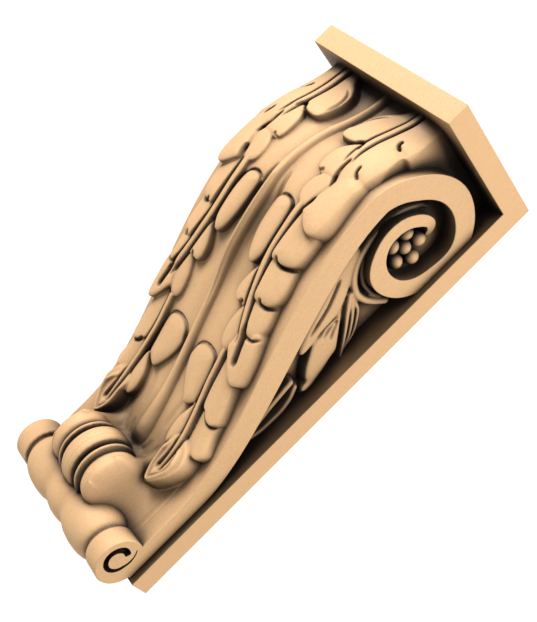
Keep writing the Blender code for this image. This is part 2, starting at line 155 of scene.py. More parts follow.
def smooth_outline(points: Sequence[Point], steps: int = 5) -> np.ndarray:
    """Rounds a closed outline. A point given twice stays a corner.

    Args:
        points: The outline's points in order.
        steps: Points on each stretch of the result.

    Returns:
        An array of shape (n, 2) without repeated points.
    """
    p = np.array(points, float)
    t = (np.arange(steps) / steps)[None, :, None]
    a, b, c, d = (np.roll(p, shift, 0)[:, None, :] for shift in (1, 0, -1, -2))
    curve = 0.5 * (2 * b + (c - a) * t + (2 * a - 5 * b + 4 * c - d) * t**2 + (3 * b - a - 3 * c + d) * t**3)
    curve = curve.reshape(-1, 2)
    return curve[np.hypot(*(curve - np.roll(curve, 1, 0)).T) > TINY]


def curved_path(path: Sequence[Point], steps: int = 6) -> np.ndarray:
    """A smooth open line through the points of a path.

    Args:
        path: Three or more points.
        steps: Points on each stretch.

    Returns:
        An array of shape (n, 2).
    """
    p = np.array(path, float)
    along = np.arange(len(p))
    at = np.linspace(0, len(p) - 1, (len(p) - 1) * steps + 1)
    return np.stack([smooth_line(along, p[:, k], at) for k in (0, 1)], axis=1)


def within(at: Grid, corners: np.ndarray, reach: float) -> np.ndarray:
    """Which points lie in the box round some corners, widened by a reach."""
    low, high = corners.min(axis=0) - reach, corners.max(axis=0) + reach
    return (at[0] > low[0]) & (at[0] < high[0]) & (at[1] > low[1]) & (at[1] < high[1])


def segment_distance(at: Grid, start: Point, end: Point) -> Grid:
    """Distance from points to one straight segment.

    Args:
        at: The points' two coordinates.
        start: One end of the segment.
        end: Its other end.

    Returns:
        The distances, and how far along the segment the nearest place is, from 0 to 1.
    """
    (u, v), du, dv = at, end[0] - start[0], end[1] - start[1]
    t = clamped(((u - start[0]) * du + (v - start[1]) * dv) / (du * du + dv * dv))
    return np.hypot(u - start[0] - t * du, v - start[1] - t * dv), t


def path_distance(at: Grid, path: Sequence[Point]) -> Grid:
    """Distance from points to an open line, as far as it matters.

    Args:
        at: The points' two coordinates.
        path: The line's points.

    Returns:
        The distances, and the share of the line's length at the nearest place.
    """
    points = np.array(path, float)
    lengths = np.hypot(*np.diff(points, axis=0).T)
    before = np.concatenate([[0.0], np.cumsum(lengths)])
    nearest, share = np.full(np.shape(at[0]), LINE_REACH), np.zeros(np.shape(at[0]))
    for k, length in enumerate(lengths):
        near = within(at, points[k:k + 2], LINE_REACH)
        away, t = segment_distance((at[0][near], at[1][near]), points[k], points[k + 1])
        closer = away < nearest[near]
        nearest[near] = np.where(closer, away, nearest[near])
        share[near] = np.where(closer, (before[k] + t * length) / before[-1], share[near])
    return nearest, share


def inside_distance(at: Grid, outline: np.ndarray) -> np.ndarray:
    """Signed distance from points to a closed outline.

    Args:
        at: The points' two coordinates.
        outline: The outline's points, of shape (n, 2).

    Returns:
        Distances that are positive inside the outline.
    """
    u, v = at
    nearest, inside = np.full(np.shape(u), np.inf), np.zeros(np.shape(u), bool)
    for start, end in zip(outline, np.roll(outline, -1, 0)):
        nearest = np.minimum(nearest, segment_distance(at, start, end)[0])
        if start[1] != end[1]:
            crossing = start[0] + (v - start[1]) * (end[0] - start[0]) / (end[1] - start[1])
            inside ^= ((start[1] > v) != (end[1] > v)) & (u < crossing)
    return np.where(inside, nearest, -nearest)


@dataclass(frozen=True)
class Incision:
    """A line cut with a V tool: deepest along its middle and running out at the ends that taper."""

    path: Sequence[Point]
    half_width: float = 0.8
    depth: float = 1.6
    taper: Point = (0.12, 0.12)
    narrowest: float = 0.45

    def depth_at(self, at: Grid) -> np.ndarray:
        """How deep the cut is.

        Args:
            at: The points' two coordinates.

        Returns:
            Depths that are zero away from the line.
        """
        away, share = path_distance(at, curved_path(self.path))
        start, end = (max(t, TINY) for t in self.taper)
        fade = clamped(share / start) * clamped((1 - share) / end)
        width = self.half_width * (self.narrowest + (1 - self.narrowest) * np.sqrt(fade))
        return self.depth * np.sqrt(fade) * np.exp(-((away / width) ** 2))


@dataclass(frozen=True)
class Leaflet:
    """A raised lobe with a rounded edge and steep sides.

    The levels are heights of its edge at the upper and the lower end, and edge_drop lowers the outer side.
    """

    outline: Sequence[Point]
    levels: Point
    crown: float = 2.0
    rounding: float = 4.5
    edge_drop: float = 0.0
    cliff: float = 4.8
    ridge: Sequence[Point] = ()
    ridge_slope: float = 0.0
    ridge_rounding: float = 0.8

    def height_at(self, at: Grid) -> np.ndarray:
        """Height of the lobe's surface, which falls away steeply outside its outline.

        Args:
            at: Distances from the corbel's middle or from the wall, and distances up the carving.

        Returns:
            Heights in millimetres.
        """
        outline = smooth_outline(self.outline)
        (inner, low), (outer, high) = outline.min(axis=0), outline.max(axis=0)
        height = np.full(np.shape(at[0]), NOWHERE)
        near = within(at, outline, LOBE_REACH)
        u, v = at[0][near], at[1][near]
        depth = inside_distance((u, v), outline)
        level = between(self.levels[::-1], clamped((v - low) / (high - low)))
        level = level - self.edge_drop * clamped((u - inner) / (outer - inner)) ** 2
        surface = level + self.crown * np.sqrt(1 - (1 - clamped(depth / self.rounding)) ** 2)
        if self.ridge:
            away, _ = path_distance((u, v), self.ridge)
            surface = surface - self.ridge_slope * (np.hypot(away, self.ridge_rounding) - self.ridge_rounding)
        height[near] = np.where(depth > 0, surface, level - self.cliff * -depth)
        return height


@dataclass(frozen=True)
class Rod:
    """A round raised rod, such as a midrib or a stalk, with a line cut along each side of it."""

    path: Sequence[Point]
    half_widths: Point
    levels: Point
    rise: float = 1.5
    line_width: float = 0.8
    line_depth: float = 2.0
    start_fade: float = 0.0
    end_fade: float = 0.06
    most_sunk: float = 2.5
    cliff: float = 3.2

    def measures(self, at: Grid) -> tuple[np.ndarray, np.ndarray, np.ndarray, np.ndarray]:
        """The distances from the rod's middle, the shares of its length, its half widths and its levels."""
        away, share = path_distance(at, curved_path(self.path))
        return away, share, between(self.half_widths, share), between(self.levels, share)

    def laid_into(self, at: Grid, height: np.ndarray) -> np.ndarray:
        """Cuts the two lines into a surface and raises the rod between them.

        Args:
            at: Distances across, and distances up the carving.
            height: The surface before.

        Returns:
            The surface with the rod.
        """
        away, share, half, level = self.measures(at)
        fade = np.ones(np.shape(away))
        if self.start_fade:
            fade = fade * clamped(share / self.start_fade)
        if self.end_fade:
            fade = fade * clamped((1 - share) / self.end_fade)
        rod = level + self.rise * clamped(1 - (away / half) ** 2)
        inside = eased(clamped((half + self.line_width - away) / (2 * self.line_width))) * fade
        line = self.line_depth * np.sqrt(fade) * np.exp(-(((away - half) / self.line_width) ** 2))
        return height + (np.maximum(rod, height - self.most_sunk) - height) * inside - line

    def standing_at(self, at: Grid) -> np.ndarray:
        """Height of a rod that stands alone, with steep sides.

        Args:
            at: Places towards the wall, and levels.

        Returns:
            Heights in millimetres.
        """
        away, share, half, level = self.measures(at)
        if self.start_fade:
            level = level * clamped(share / self.start_fade)
        round_top = np.sqrt(clamped(1 - (away / half) ** 2))
        return level + self.rise * round_top - self.cliff * np.maximum(away - half, 0.0)


@dataclass(frozen=True)
class Leaf:
    """A leaf: its lobes, the rods that are laid into them and the lines that are cut last."""

    lobes: Sequence[Leaflet]
    rods: Sequence[Rod]
    cuts: Sequence[Incision]

    def height_at(self, at: Grid) -> np.ndarray:
        """Height of the leaf's surface.

        Args:
            at: The points' two coordinates.

        Returns:
            Heights, far below any ground where there is no leaf.
        """
        height = np.full(np.shape(at[0]), NOWHERE)
        for lobe in self.lobes:
            height = np.maximum(height, lobe.height_at(at))
        for rod in self.rods:
            height = rod.laid_into(at, height)
        for cut in self.cuts:
            height = height - cut.depth_at(at)
        return height


class Ruler:
    """The S curve of the body's front: places along it from its datum, and the way out of it."""

    FOOT_FRONT = -24.9
    FOOT_START = 1.5
    FOOT_TOP = 43.4
    BELLY = (-88.4, 236.0)
    NECK = (-76.0, ABACUS_UNDERSIDE + OVERLAP)
    FRONT_HANDLES = (57.8, 72.7)
    NECK_HANDLES = (16.0, 22.0)
    DATUM = 17.5
    STEPS = 200

    def __init__(self) -> None:
        """Works out the curve's points, their distances along it and its directions."""
        foot = np.stack([np.full(self.STEPS, self.FOOT_FRONT),
                         np.linspace(self.FOOT_START, self.FOOT_TOP, self.STEPS)], axis=1)
        neck = self.upright(self.BELLY, self.NECK, self.NECK_HANDLES)
        self.points = np.concatenate([foot[:-1], self.front()[:-1], neck])
        steps = np.hypot(*np.diff(self.points, axis=0).T)
        self.along = np.concatenate([[0.0], np.cumsum(steps)]) - (self.DATUM - self.FOOT_START)
        slopes = np.gradient(self.points, self.along, axis=0)
        self.tangents = slopes / np.hypot(*slopes.T)[:, None]

    @classmethod
    def upright(cls, foot: Point, top: Point, handles: Point) -> np.ndarray:
        """A curve that is upright at both ends.

        Args:
            foot: Its lower end as (y, z).
            top: Its upper end.
            handles: How far it stays near the upright at each end.

        Returns:
            Points of shape (n, 2), both ends included.
        """
        p0, p3 = np.array(foot), np.array(top)
        p1, p2 = p0 + (0.0, handles[0]), p3 - (0.0, handles[1])
        t = np.linspace(0.0, 1.0, cls.STEPS)[:, None]
        return (1 - t) ** 3 * p0 + 3 * (1 - t) ** 2 * t * p1 + 3 * (1 - t) * t**2 * p2 + t**3 * p3

    @classmethod
    def front(cls) -> np.ndarray:
        """The part of the curve from the foot to the belly."""
        return cls.upright((cls.FOOT_FRONT, cls.FOOT_TOP), cls.BELLY, cls.FRONT_HANDLES)

    def place(self, s: np.ndarray, out: np.ndarray) -> Grid:
        """The (y, z) places that stand out from the curve.

        Args:
            s: Distances along the curve.
            out: Heights out of it.

        Returns:
            Their y and z.
        """
        y, z = (np.interp(s, self.along, self.points[:, k]) for k in (0, 1))
        ty, tz = (np.interp(s, self.along, self.tangents[:, k]) for k in (0, 1))
        return y - tz * out, z + ty * out


def linked(name: str, builder: bmesh.types.BMesh) -> bpy.types.Object:
    """Turns a bmesh in the frame's metres into an object with its normals out.

    Args:
        name: The object's name.
        builder: The bmesh, which is freed.

    Returns:
        The object, linked to the scene.
    """
    bmesh.ops.recalc_face_normals(builder, faces=builder.faces[:])
    bmesh.ops.triangulate(builder, faces=builder.faces[:])
    mesh = bpy.data.meshes.new(name)
    builder.to_mesh(mesh)
    builder.free()
    made = bpy.data.objects.new(name, mesh)
    bpy.context.scene.collection.objects.link(made)
    return made


def placed(builder: bmesh.types.BMesh, points: np.ndarray) -> None:
    """Moves every vertex to its point in millimetres, in the order of the vertices."""
    for vert, point in zip(builder.verts, to_frame(points)):
        vert.co = point


def swept(builder: bmesh.types.BMesh, faces: Sequence, move: Triple) -> list[bmesh.types.BMFace]:
    """Extrudes faces.

    Args:
        builder: The bmesh.
        faces: The faces.
        move: How far they go, in metres.

    Returns:
        The faces at the far end.
    """
    made = bmesh.ops.extrude_face_region(builder, geom=faces)["geom"]
    moved = [item for item in made if isinstance(item, bmesh.types.BMVert)]
    bmesh.ops.translate(builder, verts=moved, vec=move)
    return [item for item in made if isinstance(item, bmesh.types.BMFace)]


def sanded(builder: bmesh.types.BMesh, verts: Sequence[bmesh.types.BMVert], passes: int) -> None:
    """Smooths a surface a little with each pass."""
    for _ in range(passes):
        bmesh.ops.smooth_vert(builder, verts=verts, factor=0.5, use_axis_x=True, use_axis_y=True,
                              use_axis_z=True)


def softened(builder: bmesh.types.BMesh, edges: Sequence[bmesh.types.BMEdge], width: float) -> None:
    """Breaks sharp edges by a width in millimetres."""
    bmesh.ops.bevel(builder, geom=edges, offset=width * MM, segments=2, profile=0.5, affect="EDGES",
                    material=-1)


def relief_solid(name: str, cells: tuple[int, int], face: Callable, root: Callable) -> bpy.types.Object:
    """A closed block with one carved face, from a grid that is extruded once.

    Args:
        name: The object's name.
        cells: Faces of the grid across and along it.
        face: Gives the carved face's (x, y, z) from places 0 to 1 across and along.
        root: Gives the hidden face in the same way.

    Returns:
        The object.
    """
    builder = bmesh.new()
    bmesh.ops.create_grid(builder, x_segments=cells[0], y_segments=cells[1], size=0.5)
    swept(builder, builder.faces[:], (0.0, 0.0, -1.0))
    u, v, w = np.array([vert.co for vert in builder.verts]).T
    front = w > -0.5
    points = np.empty((len(u), 3))
    for part, place in ((front, face), (~front, root)):
        points[part] = np.stack(place(u[part] + 0.5, v[part] + 0.5), axis=1)
    placed(builder, points)
    sanded(builder, [vert for vert, carved in zip(builder.verts, front) if carved], SANDING_PASSES)
    return linked(name, builder)


def extruded(outline: Sequence[Point], left: float, right: float) -> tuple[bmesh.types.BMesh, list]:
    """A bmesh of constant section across the corbel.

    Args:
        outline: Its section as (y, z) points.
        left: Where it begins across the corbel.
        right: Where it ends.

    Returns:
        The bmesh, and the faces at its right end.
    """
    builder = bmesh.new()
    start = to_frame(np.array([(left, y, z) for y, z in outline]))
    face = builder.faces.new([builder.verts.new(point) for point in start])
    return builder, swept(builder, [face], ((right - left) * MM, 0.0, 0.0))


def prism(name: str, outline: Sequence[Point], left: float, right: float,
          bevel: float = 0.0) -> bpy.types.Object:
    """A solid of constant section across the corbel, with softened edges.

    Args:
        name: The object's name.
        outline: Its section as (y, z) points.
        left: Where it begins across the corbel.
        right: Where it ends.
        bevel: Width of the softened edge round the face at the right.

    Returns:
        The object.
    """
    builder, end = extruded(outline, left, right)
    if bevel:
        top = set(end)
        softened(builder, [edge for edge in builder.edges if len(top & set(edge.link_faces)) == 1], bevel)
    return linked(name, builder)


def lathe(name: str, stations: Sequence[tuple], segments: int) -> bpy.types.Object:
    """A turned solid about an axis across the corbel, whose centre may wander.

    Args:
        name: The object's name.
        stations: Each (x, centre y, centre z, radius), in order across the corbel.
        segments: Faces round it.

    Returns:
        The object.
    """
    builder = bmesh.new()
    x, y, z, radius = np.array(stations).T
    line = [builder.verts.new((a, 0.0, r)) for a, r in zip(x, radius)]
    profile = line + [builder.edges.new(pair) for pair in zip(line, line[1:])]
    bmesh.ops.spin(builder, geom=profile, cent=(0.0, 0.0, 0.0), axis=(1.0, 0.0, 0.0), angle=2 * math.pi,
                   steps=segments, use_merge=True)
    bmesh.ops.remove_doubles(builder, verts=builder.verts[:], dist=1e-4)
    bmesh.ops.holes_fill(builder, edges=[edge for edge in builder.edges if edge.is_boundary])
    co = np.array([vert.co for vert in builder.verts])
    centre = np.stack([np.zeros(len(co)), np.interp(co[:, 0], x, y), np.interp(co[:, 0], x, z)], axis=1)
    placed(builder, co + centre)
    return linked(name, builder)


@dataclass
class Slab:
    """The back plate and the abacus, one L-shaped board with crisp edges."""

    softening: float = 0.5

    def build(self) -> bpy.types.Object:
        """Extrudes the L across the corbel and breaks its edges.

        Returns:
            The object.
        """
        outline = ((0.0, 0.0), (0.0, HEIGHT), (-PROJECTION, HEIGHT), (-PROJECTION, ABACUS_UNDERSIDE),
                   (-PLATE_THICKNESS, ABACUS_UNDERSIDE), (-PLATE_THICKNESS, 0.0))
        builder, _ = extruded(outline, -WIDTH / 2, WIDTH / 2)
        bmesh.ops.recalc_face_normals(builder, faces=builder.faces[:])
        softened(builder, builder.edges[:], self.softening)
        return linked("slab", builder)


@dataclass
class Core:
    """The hidden heart of the body, which the carvings are rooted in."""

    inset: float = 3.0
    neck_inset: float = 5.0
    neck_level: float = 272.0
    foot: float = 1.5
    every: int = 8

    def build(self, ruler: Ruler) -> bpy.types.Object:
        """Extrudes the body's section between the recessed walls.

        Args:
            ruler: The front's curve.

        Returns:
            The object.
        """
        neck = ruler.NECK[0] + self.neck_inset
        outline = [(-OVERLAP, self.foot), (ruler.FOOT_FRONT + self.inset, self.foot)]
        outline += [(y + self.inset, z) for y, z in ruler.front()[::self.every]]
        outline += [(ruler.BELLY[0] + self.inset, ruler.BELLY[1]), (neck, self.neck_level),
                    (neck, ruler.NECK[1]), (-OVERLAP, ruler.NECK[1])]
        return prism("core", outline, -RECESS_WALL, RECESS_WALL)


# Lobes, midribs and cuts of one half of the front, as (distance from the middle, distance along the front)
TOP_LOBES = (
    Leaflet(((38.6, 221), (34.6, 228), (32.4, 236), (32, 246), (32.6, 255), (33.6, 264), (34.8, 276),
        (35.4, 289), (51.6, 289), (51.6, 276), (51.6, 264), (51.4, 256), (51.4, 248), (51.2, 240),
        (50.8, 233), (49.8, 227), (46, 221)), (5.6, 7.6), crown=2.2, rounding=8, edge_drop=4.4),
    Leaflet(((28.8, 249), (27.4, 246.6), (24.6, 243.8), (20.6, 242.4), (15.4, 242.2), (12.3, 243.3),
        (10.9, 246.6), (10.8, 251), (11, 257), (12, 262.6), (14, 268), (17.6, 272.4), (23, 278), (27, 289),
        (33, 289), (32.4, 276), (31.2, 264), (30.2, 254)), (4.2, 8), crown=1.5, rounding=4),
    Leaflet(((29.6, 248), (26.4, 244.8), (23.4, 241.8), (20.4, 238.2), (18.7, 233.8), (18.1, 228.8),
        (18.8, 224.7), (20.8, 222.2), (24, 221.6), (27.6, 222.4), (34, 223), (34.4, 231), (33, 240)),
        (6.6, 7.8), crown=1.5, rounding=3.8),
    Leaflet(((27, 224), (24.3, 220.8), (22.2, 217.4), (21.2, 213), (21.7, 208.6), (23.8, 205.4), (27, 203.9),
        (31, 203.5), (33.4, 204.3), (34.6, 209.6), (36.4, 216), (36, 222), (32, 226)), (7, 8), crown=1.6,
        rounding=4),
    Leaflet(((34.6, 209.6), (35.6, 215), (37, 223), (38.6, 231), (43, 238), (48, 236), (50.6, 228), (51, 219),
        (51.6, 212), (52, 205), (51.2, 199.4), (48.8, 196), (45.4, 195.4), (41.2, 197.2), (36.8, 200.4),
        (33.8, 203.4)), (5.6, 10.8), crown=2.4, rounding=8, edge_drop=2.8),
)
MIDDLE_LOBES = (
    Leaflet(((30.4, 178), (30.2, 186), (30.8, 196), (32.6, 207), (42, 209), (48, 206), (49.2, 199), (50, 191),
        (49.8, 184), (48.4, 178.6), (45.6, 175.8), (41, 174.4), (36.6, 174.2), (33, 174.6)), (6.2, 9),
        crown=2.6, rounding=8, edge_drop=4.8),
    Leaflet(((33.6, 154), (32, 163), (30.8, 172), (30.8, 180), (40, 182), (46, 181), (48.4, 175), (49.8, 168),
        (50, 161.6), (48.8, 156.4), (46, 153), (41.6, 151.7), (37.6, 151.8)), (5.2, 9), crown=2.6,
        rounding=7.4, edge_drop=4.8),
    Leaflet(((39.8, 135), (37, 143), (34.6, 150.6), (34.4, 157), (42, 160), (47, 158), (48.8, 153),
        (50, 146.6), (49.8, 140.4), (48.2, 135.2), (45.8, 133.2), (43, 133.2)), (5, 8.6), crown=2.4,
        rounding=6.6, edge_drop=4.2),
    Leaflet(((9.4, 199), (9.3, 190), (9.8, 183), (11.2, 176), (13.6, 169.4), (16.2, 165.8), (18.5, 164.4),
        (21, 165.2), (23.3, 168.4), (24.7, 172.5), (25, 180), (24.8, 188), (23.8, 195), (22.4, 199.6),
        (19.8, 201.8), (15.6, 202.6), (11.4, 201.6)), (6.6, 7.6), crown=2.6, rounding=7.6),
    Leaflet(((27.4, 170), (24.2, 164.6), (21.4, 158.6), (19.7, 153.2), (19.4, 148.6), (20.6, 145.2),
        (22.8, 143.4), (25.6, 142.7), (28.2, 143.6), (31.4, 144.6), (31, 152), (29.4, 162)), (6.2, 7.4),
        crown=2.2, rounding=5.8),
    Leaflet(((30.6, 148), (27.2, 141.6), (25.4, 137.2), (24.1, 132.4), (23.6, 127.6), (23.9, 122.6),
        (25.4, 118.8), (28, 116.8), (31, 116.7), (33.8, 118.3), (35.6, 121.4), (36.8, 127), (36.4, 133),
        (34.4, 141)), (5.6, 6.2), crown=2.3, rounding=6),
    Leaflet(((42.4, 138), (38.6, 138.6), (36.2, 131), (35, 126), (34, 121.8), (36.8, 117.6), (40.5, 112.8),
        (44, 109), (47.4, 106.8), (50.2, 106.8), (51.9, 109.6), (52.2, 116), (52, 124), (51.2, 130.4),
        (50, 136.6), (47, 139)), (6.4, 9.2), crown=1.7, rounding=3.6, edge_drop=2.2),
)
LOWER_LOBES = (
    Leaflet(((32, 117), (32.2, 107), (32.8, 99), (33.8, 91), (35.6, 85.4), (38.6, 82.7), (42, 80.2),
        (46, 78.8), (48.8, 79.4), (50.8, 83), (50.4, 90), (49.2, 98), (48, 106), (47.4, 117)), (5.6, 8),
        crown=1.2, rounding=2.6, edge_drop=2, ridge=((43.6, 81), (42, 112)), ridge_slope=0.12),
    Leaflet(((5.6, 101), (7.4, 106.4), (11.6, 109.6), (16.6, 110.6), (21.6, 109.8), (25, 107.8),
        (26.6, 104.4), (27.5, 98), (27.9, 89), (28, 81.6), (26.2, 79), (23, 76.4), (20.2, 75.2), (18.2, 75.6),
        (15.3, 78.8), (12, 83.4), (9, 88.4), (6.6, 93.6), (5.6, 97.4)), (4.8, 5.8), crown=2.5, rounding=9),
    Leaflet(((28, 81), (28, 81), (24.5, 74), (22, 68), (21.2, 62), (21.6, 56.2), (23.3, 52.2), (25.3, 50.6),
        (27.6, 51.4), (29.6, 54), (31.2, 58), (32.8, 64), (31.8, 71), (30.4, 77)), (5.6, 7), crown=2.2,
        rounding=5.6),
    Leaflet(((36.2, 83), (34.8, 75), (35.4, 67), (37.4, 61.4), (41, 58.8), (45, 57.8), (49.4, 57.8),
        (52, 60.2), (53.2, 63.4), (52.2, 68), (50.8, 74), (49.4, 83), (43, 86)), (5.2, 7.2), crown=1.3,
        rounding=2.8, edge_drop=1.8, ridge=((42, 82), (47.6, 60)), ridge_slope=0.16),
    Leaflet(((29, 60), (28, 52), (27.6, 45), (28.2, 38.6), (30, 32.8), (32.4, 28.6), (34, 27.2), (34, 27.2),
        (36.8, 29.2), (40.4, 33.8), (43.8, 38.8), (46.6, 44.2), (48, 49.4), (47.4, 54), (44.2, 60), (38, 63)),
        (7.4, 11.6), crown=1.2, rounding=2.4),
)

TOP_ROD = Rod(((34.2, 288), (34, 276), (32.6, 264), (31.5, 251), (31.9, 241), (33.4, 232.5)), (2.8, 2.5),
    (6.6, 8.8), rise=1, line_width=0.6, line_depth=2, end_fade=0.2)
MIDDLE_ROD = Rod(((29, 208), (28.4, 198), (28.5, 188), (28.6, 180), (29.3, 170), (31.1, 160), (33.2, 150),
    (36.1, 140), (39.4, 131), (41, 126.5)), (3.3, 2.6), (8.2, 8.2), rise=1.2, line_width=0.6, line_depth=2.1,
    end_fade=0.1)
LOWER_ROD = Rod(((31, 116), (31, 100), (32, 88), (33.4, 76), (34.8, 62), (35.2, 49), (34.8, 38.5)),
    (2.7, 2.2), (6.6, 8.6), rise=1.4, line_width=0.6, line_depth=1.4, end_fade=0.03)
LOWER_RIM = Rod(((29.4, 57), (29, 48), (29.6, 40), (31.4, 33.4), (34, 29.4), (36.8, 32.6), (40.2, 38),
    (42.6, 43), (43.2, 47.4), (41.8, 52.6), (38.4, 57)), (1.5, 1.8), (10.6, 11.6), rise=1.2, line_width=0.9,
    line_depth=0.5, start_fade=0.1, end_fade=0.15)

# Hooks between the lobes, soft dents beside them, and the gouge in the middle leaf's turned-up end
TOP_CUTS = (
    Incision(((35.4, 211.6), (34.6, 208), (33.4, 204.6), (32.4, 202.4)), 0.9, 4, (0.3, 0)),
    Incision(((42.4, 261.4), (42.6, 258.8), (44, 256.8), (46.2, 255.8)), 0.7, 2.8, (0.15, 0.3)),
    Incision(((43.6, 256.8), (46.6, 255.8), (50, 256.2)), 2.4, 1, (0.2, 0.1)),
    Incision(((42, 236.4), (42.6, 233.6), (44.2, 231.4), (46.2, 230.2)), 0.6, 2.4, (0.2, 0.3)),
    Incision(((43.6, 231.8), (46.8, 229.8), (51, 229.4)), 2.4, 0.8, (0.2, 0)),
    Incision(((30.6, 241), (29.6, 245), (27.4, 245.8), (24.6, 243.6)), 0.7, 2, (0.1, 0.2)),
    Incision(((25.2, 224.4), (21.8, 222.2), (19.6, 222.6)), 0.8, 1.6, (0.1, 0.2)),
    Incision(((33.6, 236), (33.4, 230), (34.6, 224), (37.4, 218.8)), 0.7, 1.8, (0.1, 0.25)),
)
MIDDLE_CUTS = (
    Incision(((36.4, 177.4), (37.6, 174.6), (41, 173.6), (46, 174.8), (50.4, 177.6)), 0.8, 2.8, (0.12, 0)),
    Incision(((40.4, 154.8), (41.2, 152), (44.6, 151.2), (48, 152.8), (50.6, 155.4)), 0.8, 2.8, (0.12, 0)),
    Incision(((40.6, 136), (43, 132.8), (46.6, 132.6), (50.4, 135.4)), 0.7, 2.2, (0.1, 0)),
    Incision(((39.6, 139), (41, 131), (42.6, 124), (44.4, 115.6)), 1.5, 3.6, (0.3, 0.1)),
    Incision(((27, 168.6), (24.6, 166), (22.4, 163.6)), 0.9, 2.2, (0.1, 0.2)),
    Incision(((28.8, 147), (26, 143), (22.6, 142.4)), 0.9, 2.2, (0.1, 0.2)),
)
LOWER_CUTS = (
    Incision(((38.4, 84), (42, 79.6), (46.4, 78), (50.6, 80.6)), 0.7, 2, (0.1, 0)),
)

# Lines round the hooded lobes from the top leaf to the lower one, cut in the lobes and in the ground
HOOD_LINES = (
    Incision(((11.8, 249), (12.2, 255), (13.4, 261), (16, 266.4), (20.4, 270.6)), 0.7, 1.4, (0.15, 0.3)),
    Incision(((9.4, 199.4), (12, 202.7), (16, 203.7), (20, 202.9), (23.4, 200), (25.2, 194), (25.8, 184)),
        0.6, 2, (0.1, 0.3)),
    Incision(((5, 100), (7, 106.8), (11.4, 110.6), (16.6, 111.8), (22, 111), (26.2, 108.4), (28, 103)), 0.6,
        1.3, (0.1, 0.3)),
)


@dataclass
class AcanthusHalf:
    """One half of the front's three leaves, which its mirror image completes."""

    leaves: Sequence[Leaf] = (
        Leaf(LOWER_LOBES, (LOWER_RIM, LOWER_ROD), (*LOWER_CUTS, HOOD_LINES[2])),
        Leaf(MIDDLE_LOBES, (MIDDLE_ROD,), (*MIDDLE_CUTS, HOOD_LINES[1])),
        Leaf(TOP_LOBES, (TOP_ROD,), (*TOP_CUTS, HOOD_LINES[0])),
    )

    def height_at(self, at: Grid) -> np.ndarray:
        """Height of the leaves out of the front curve, far below the ground where there is no leaf."""
        return np.max([leaf.height_at(at) for leaf in self.leaves], axis=0)


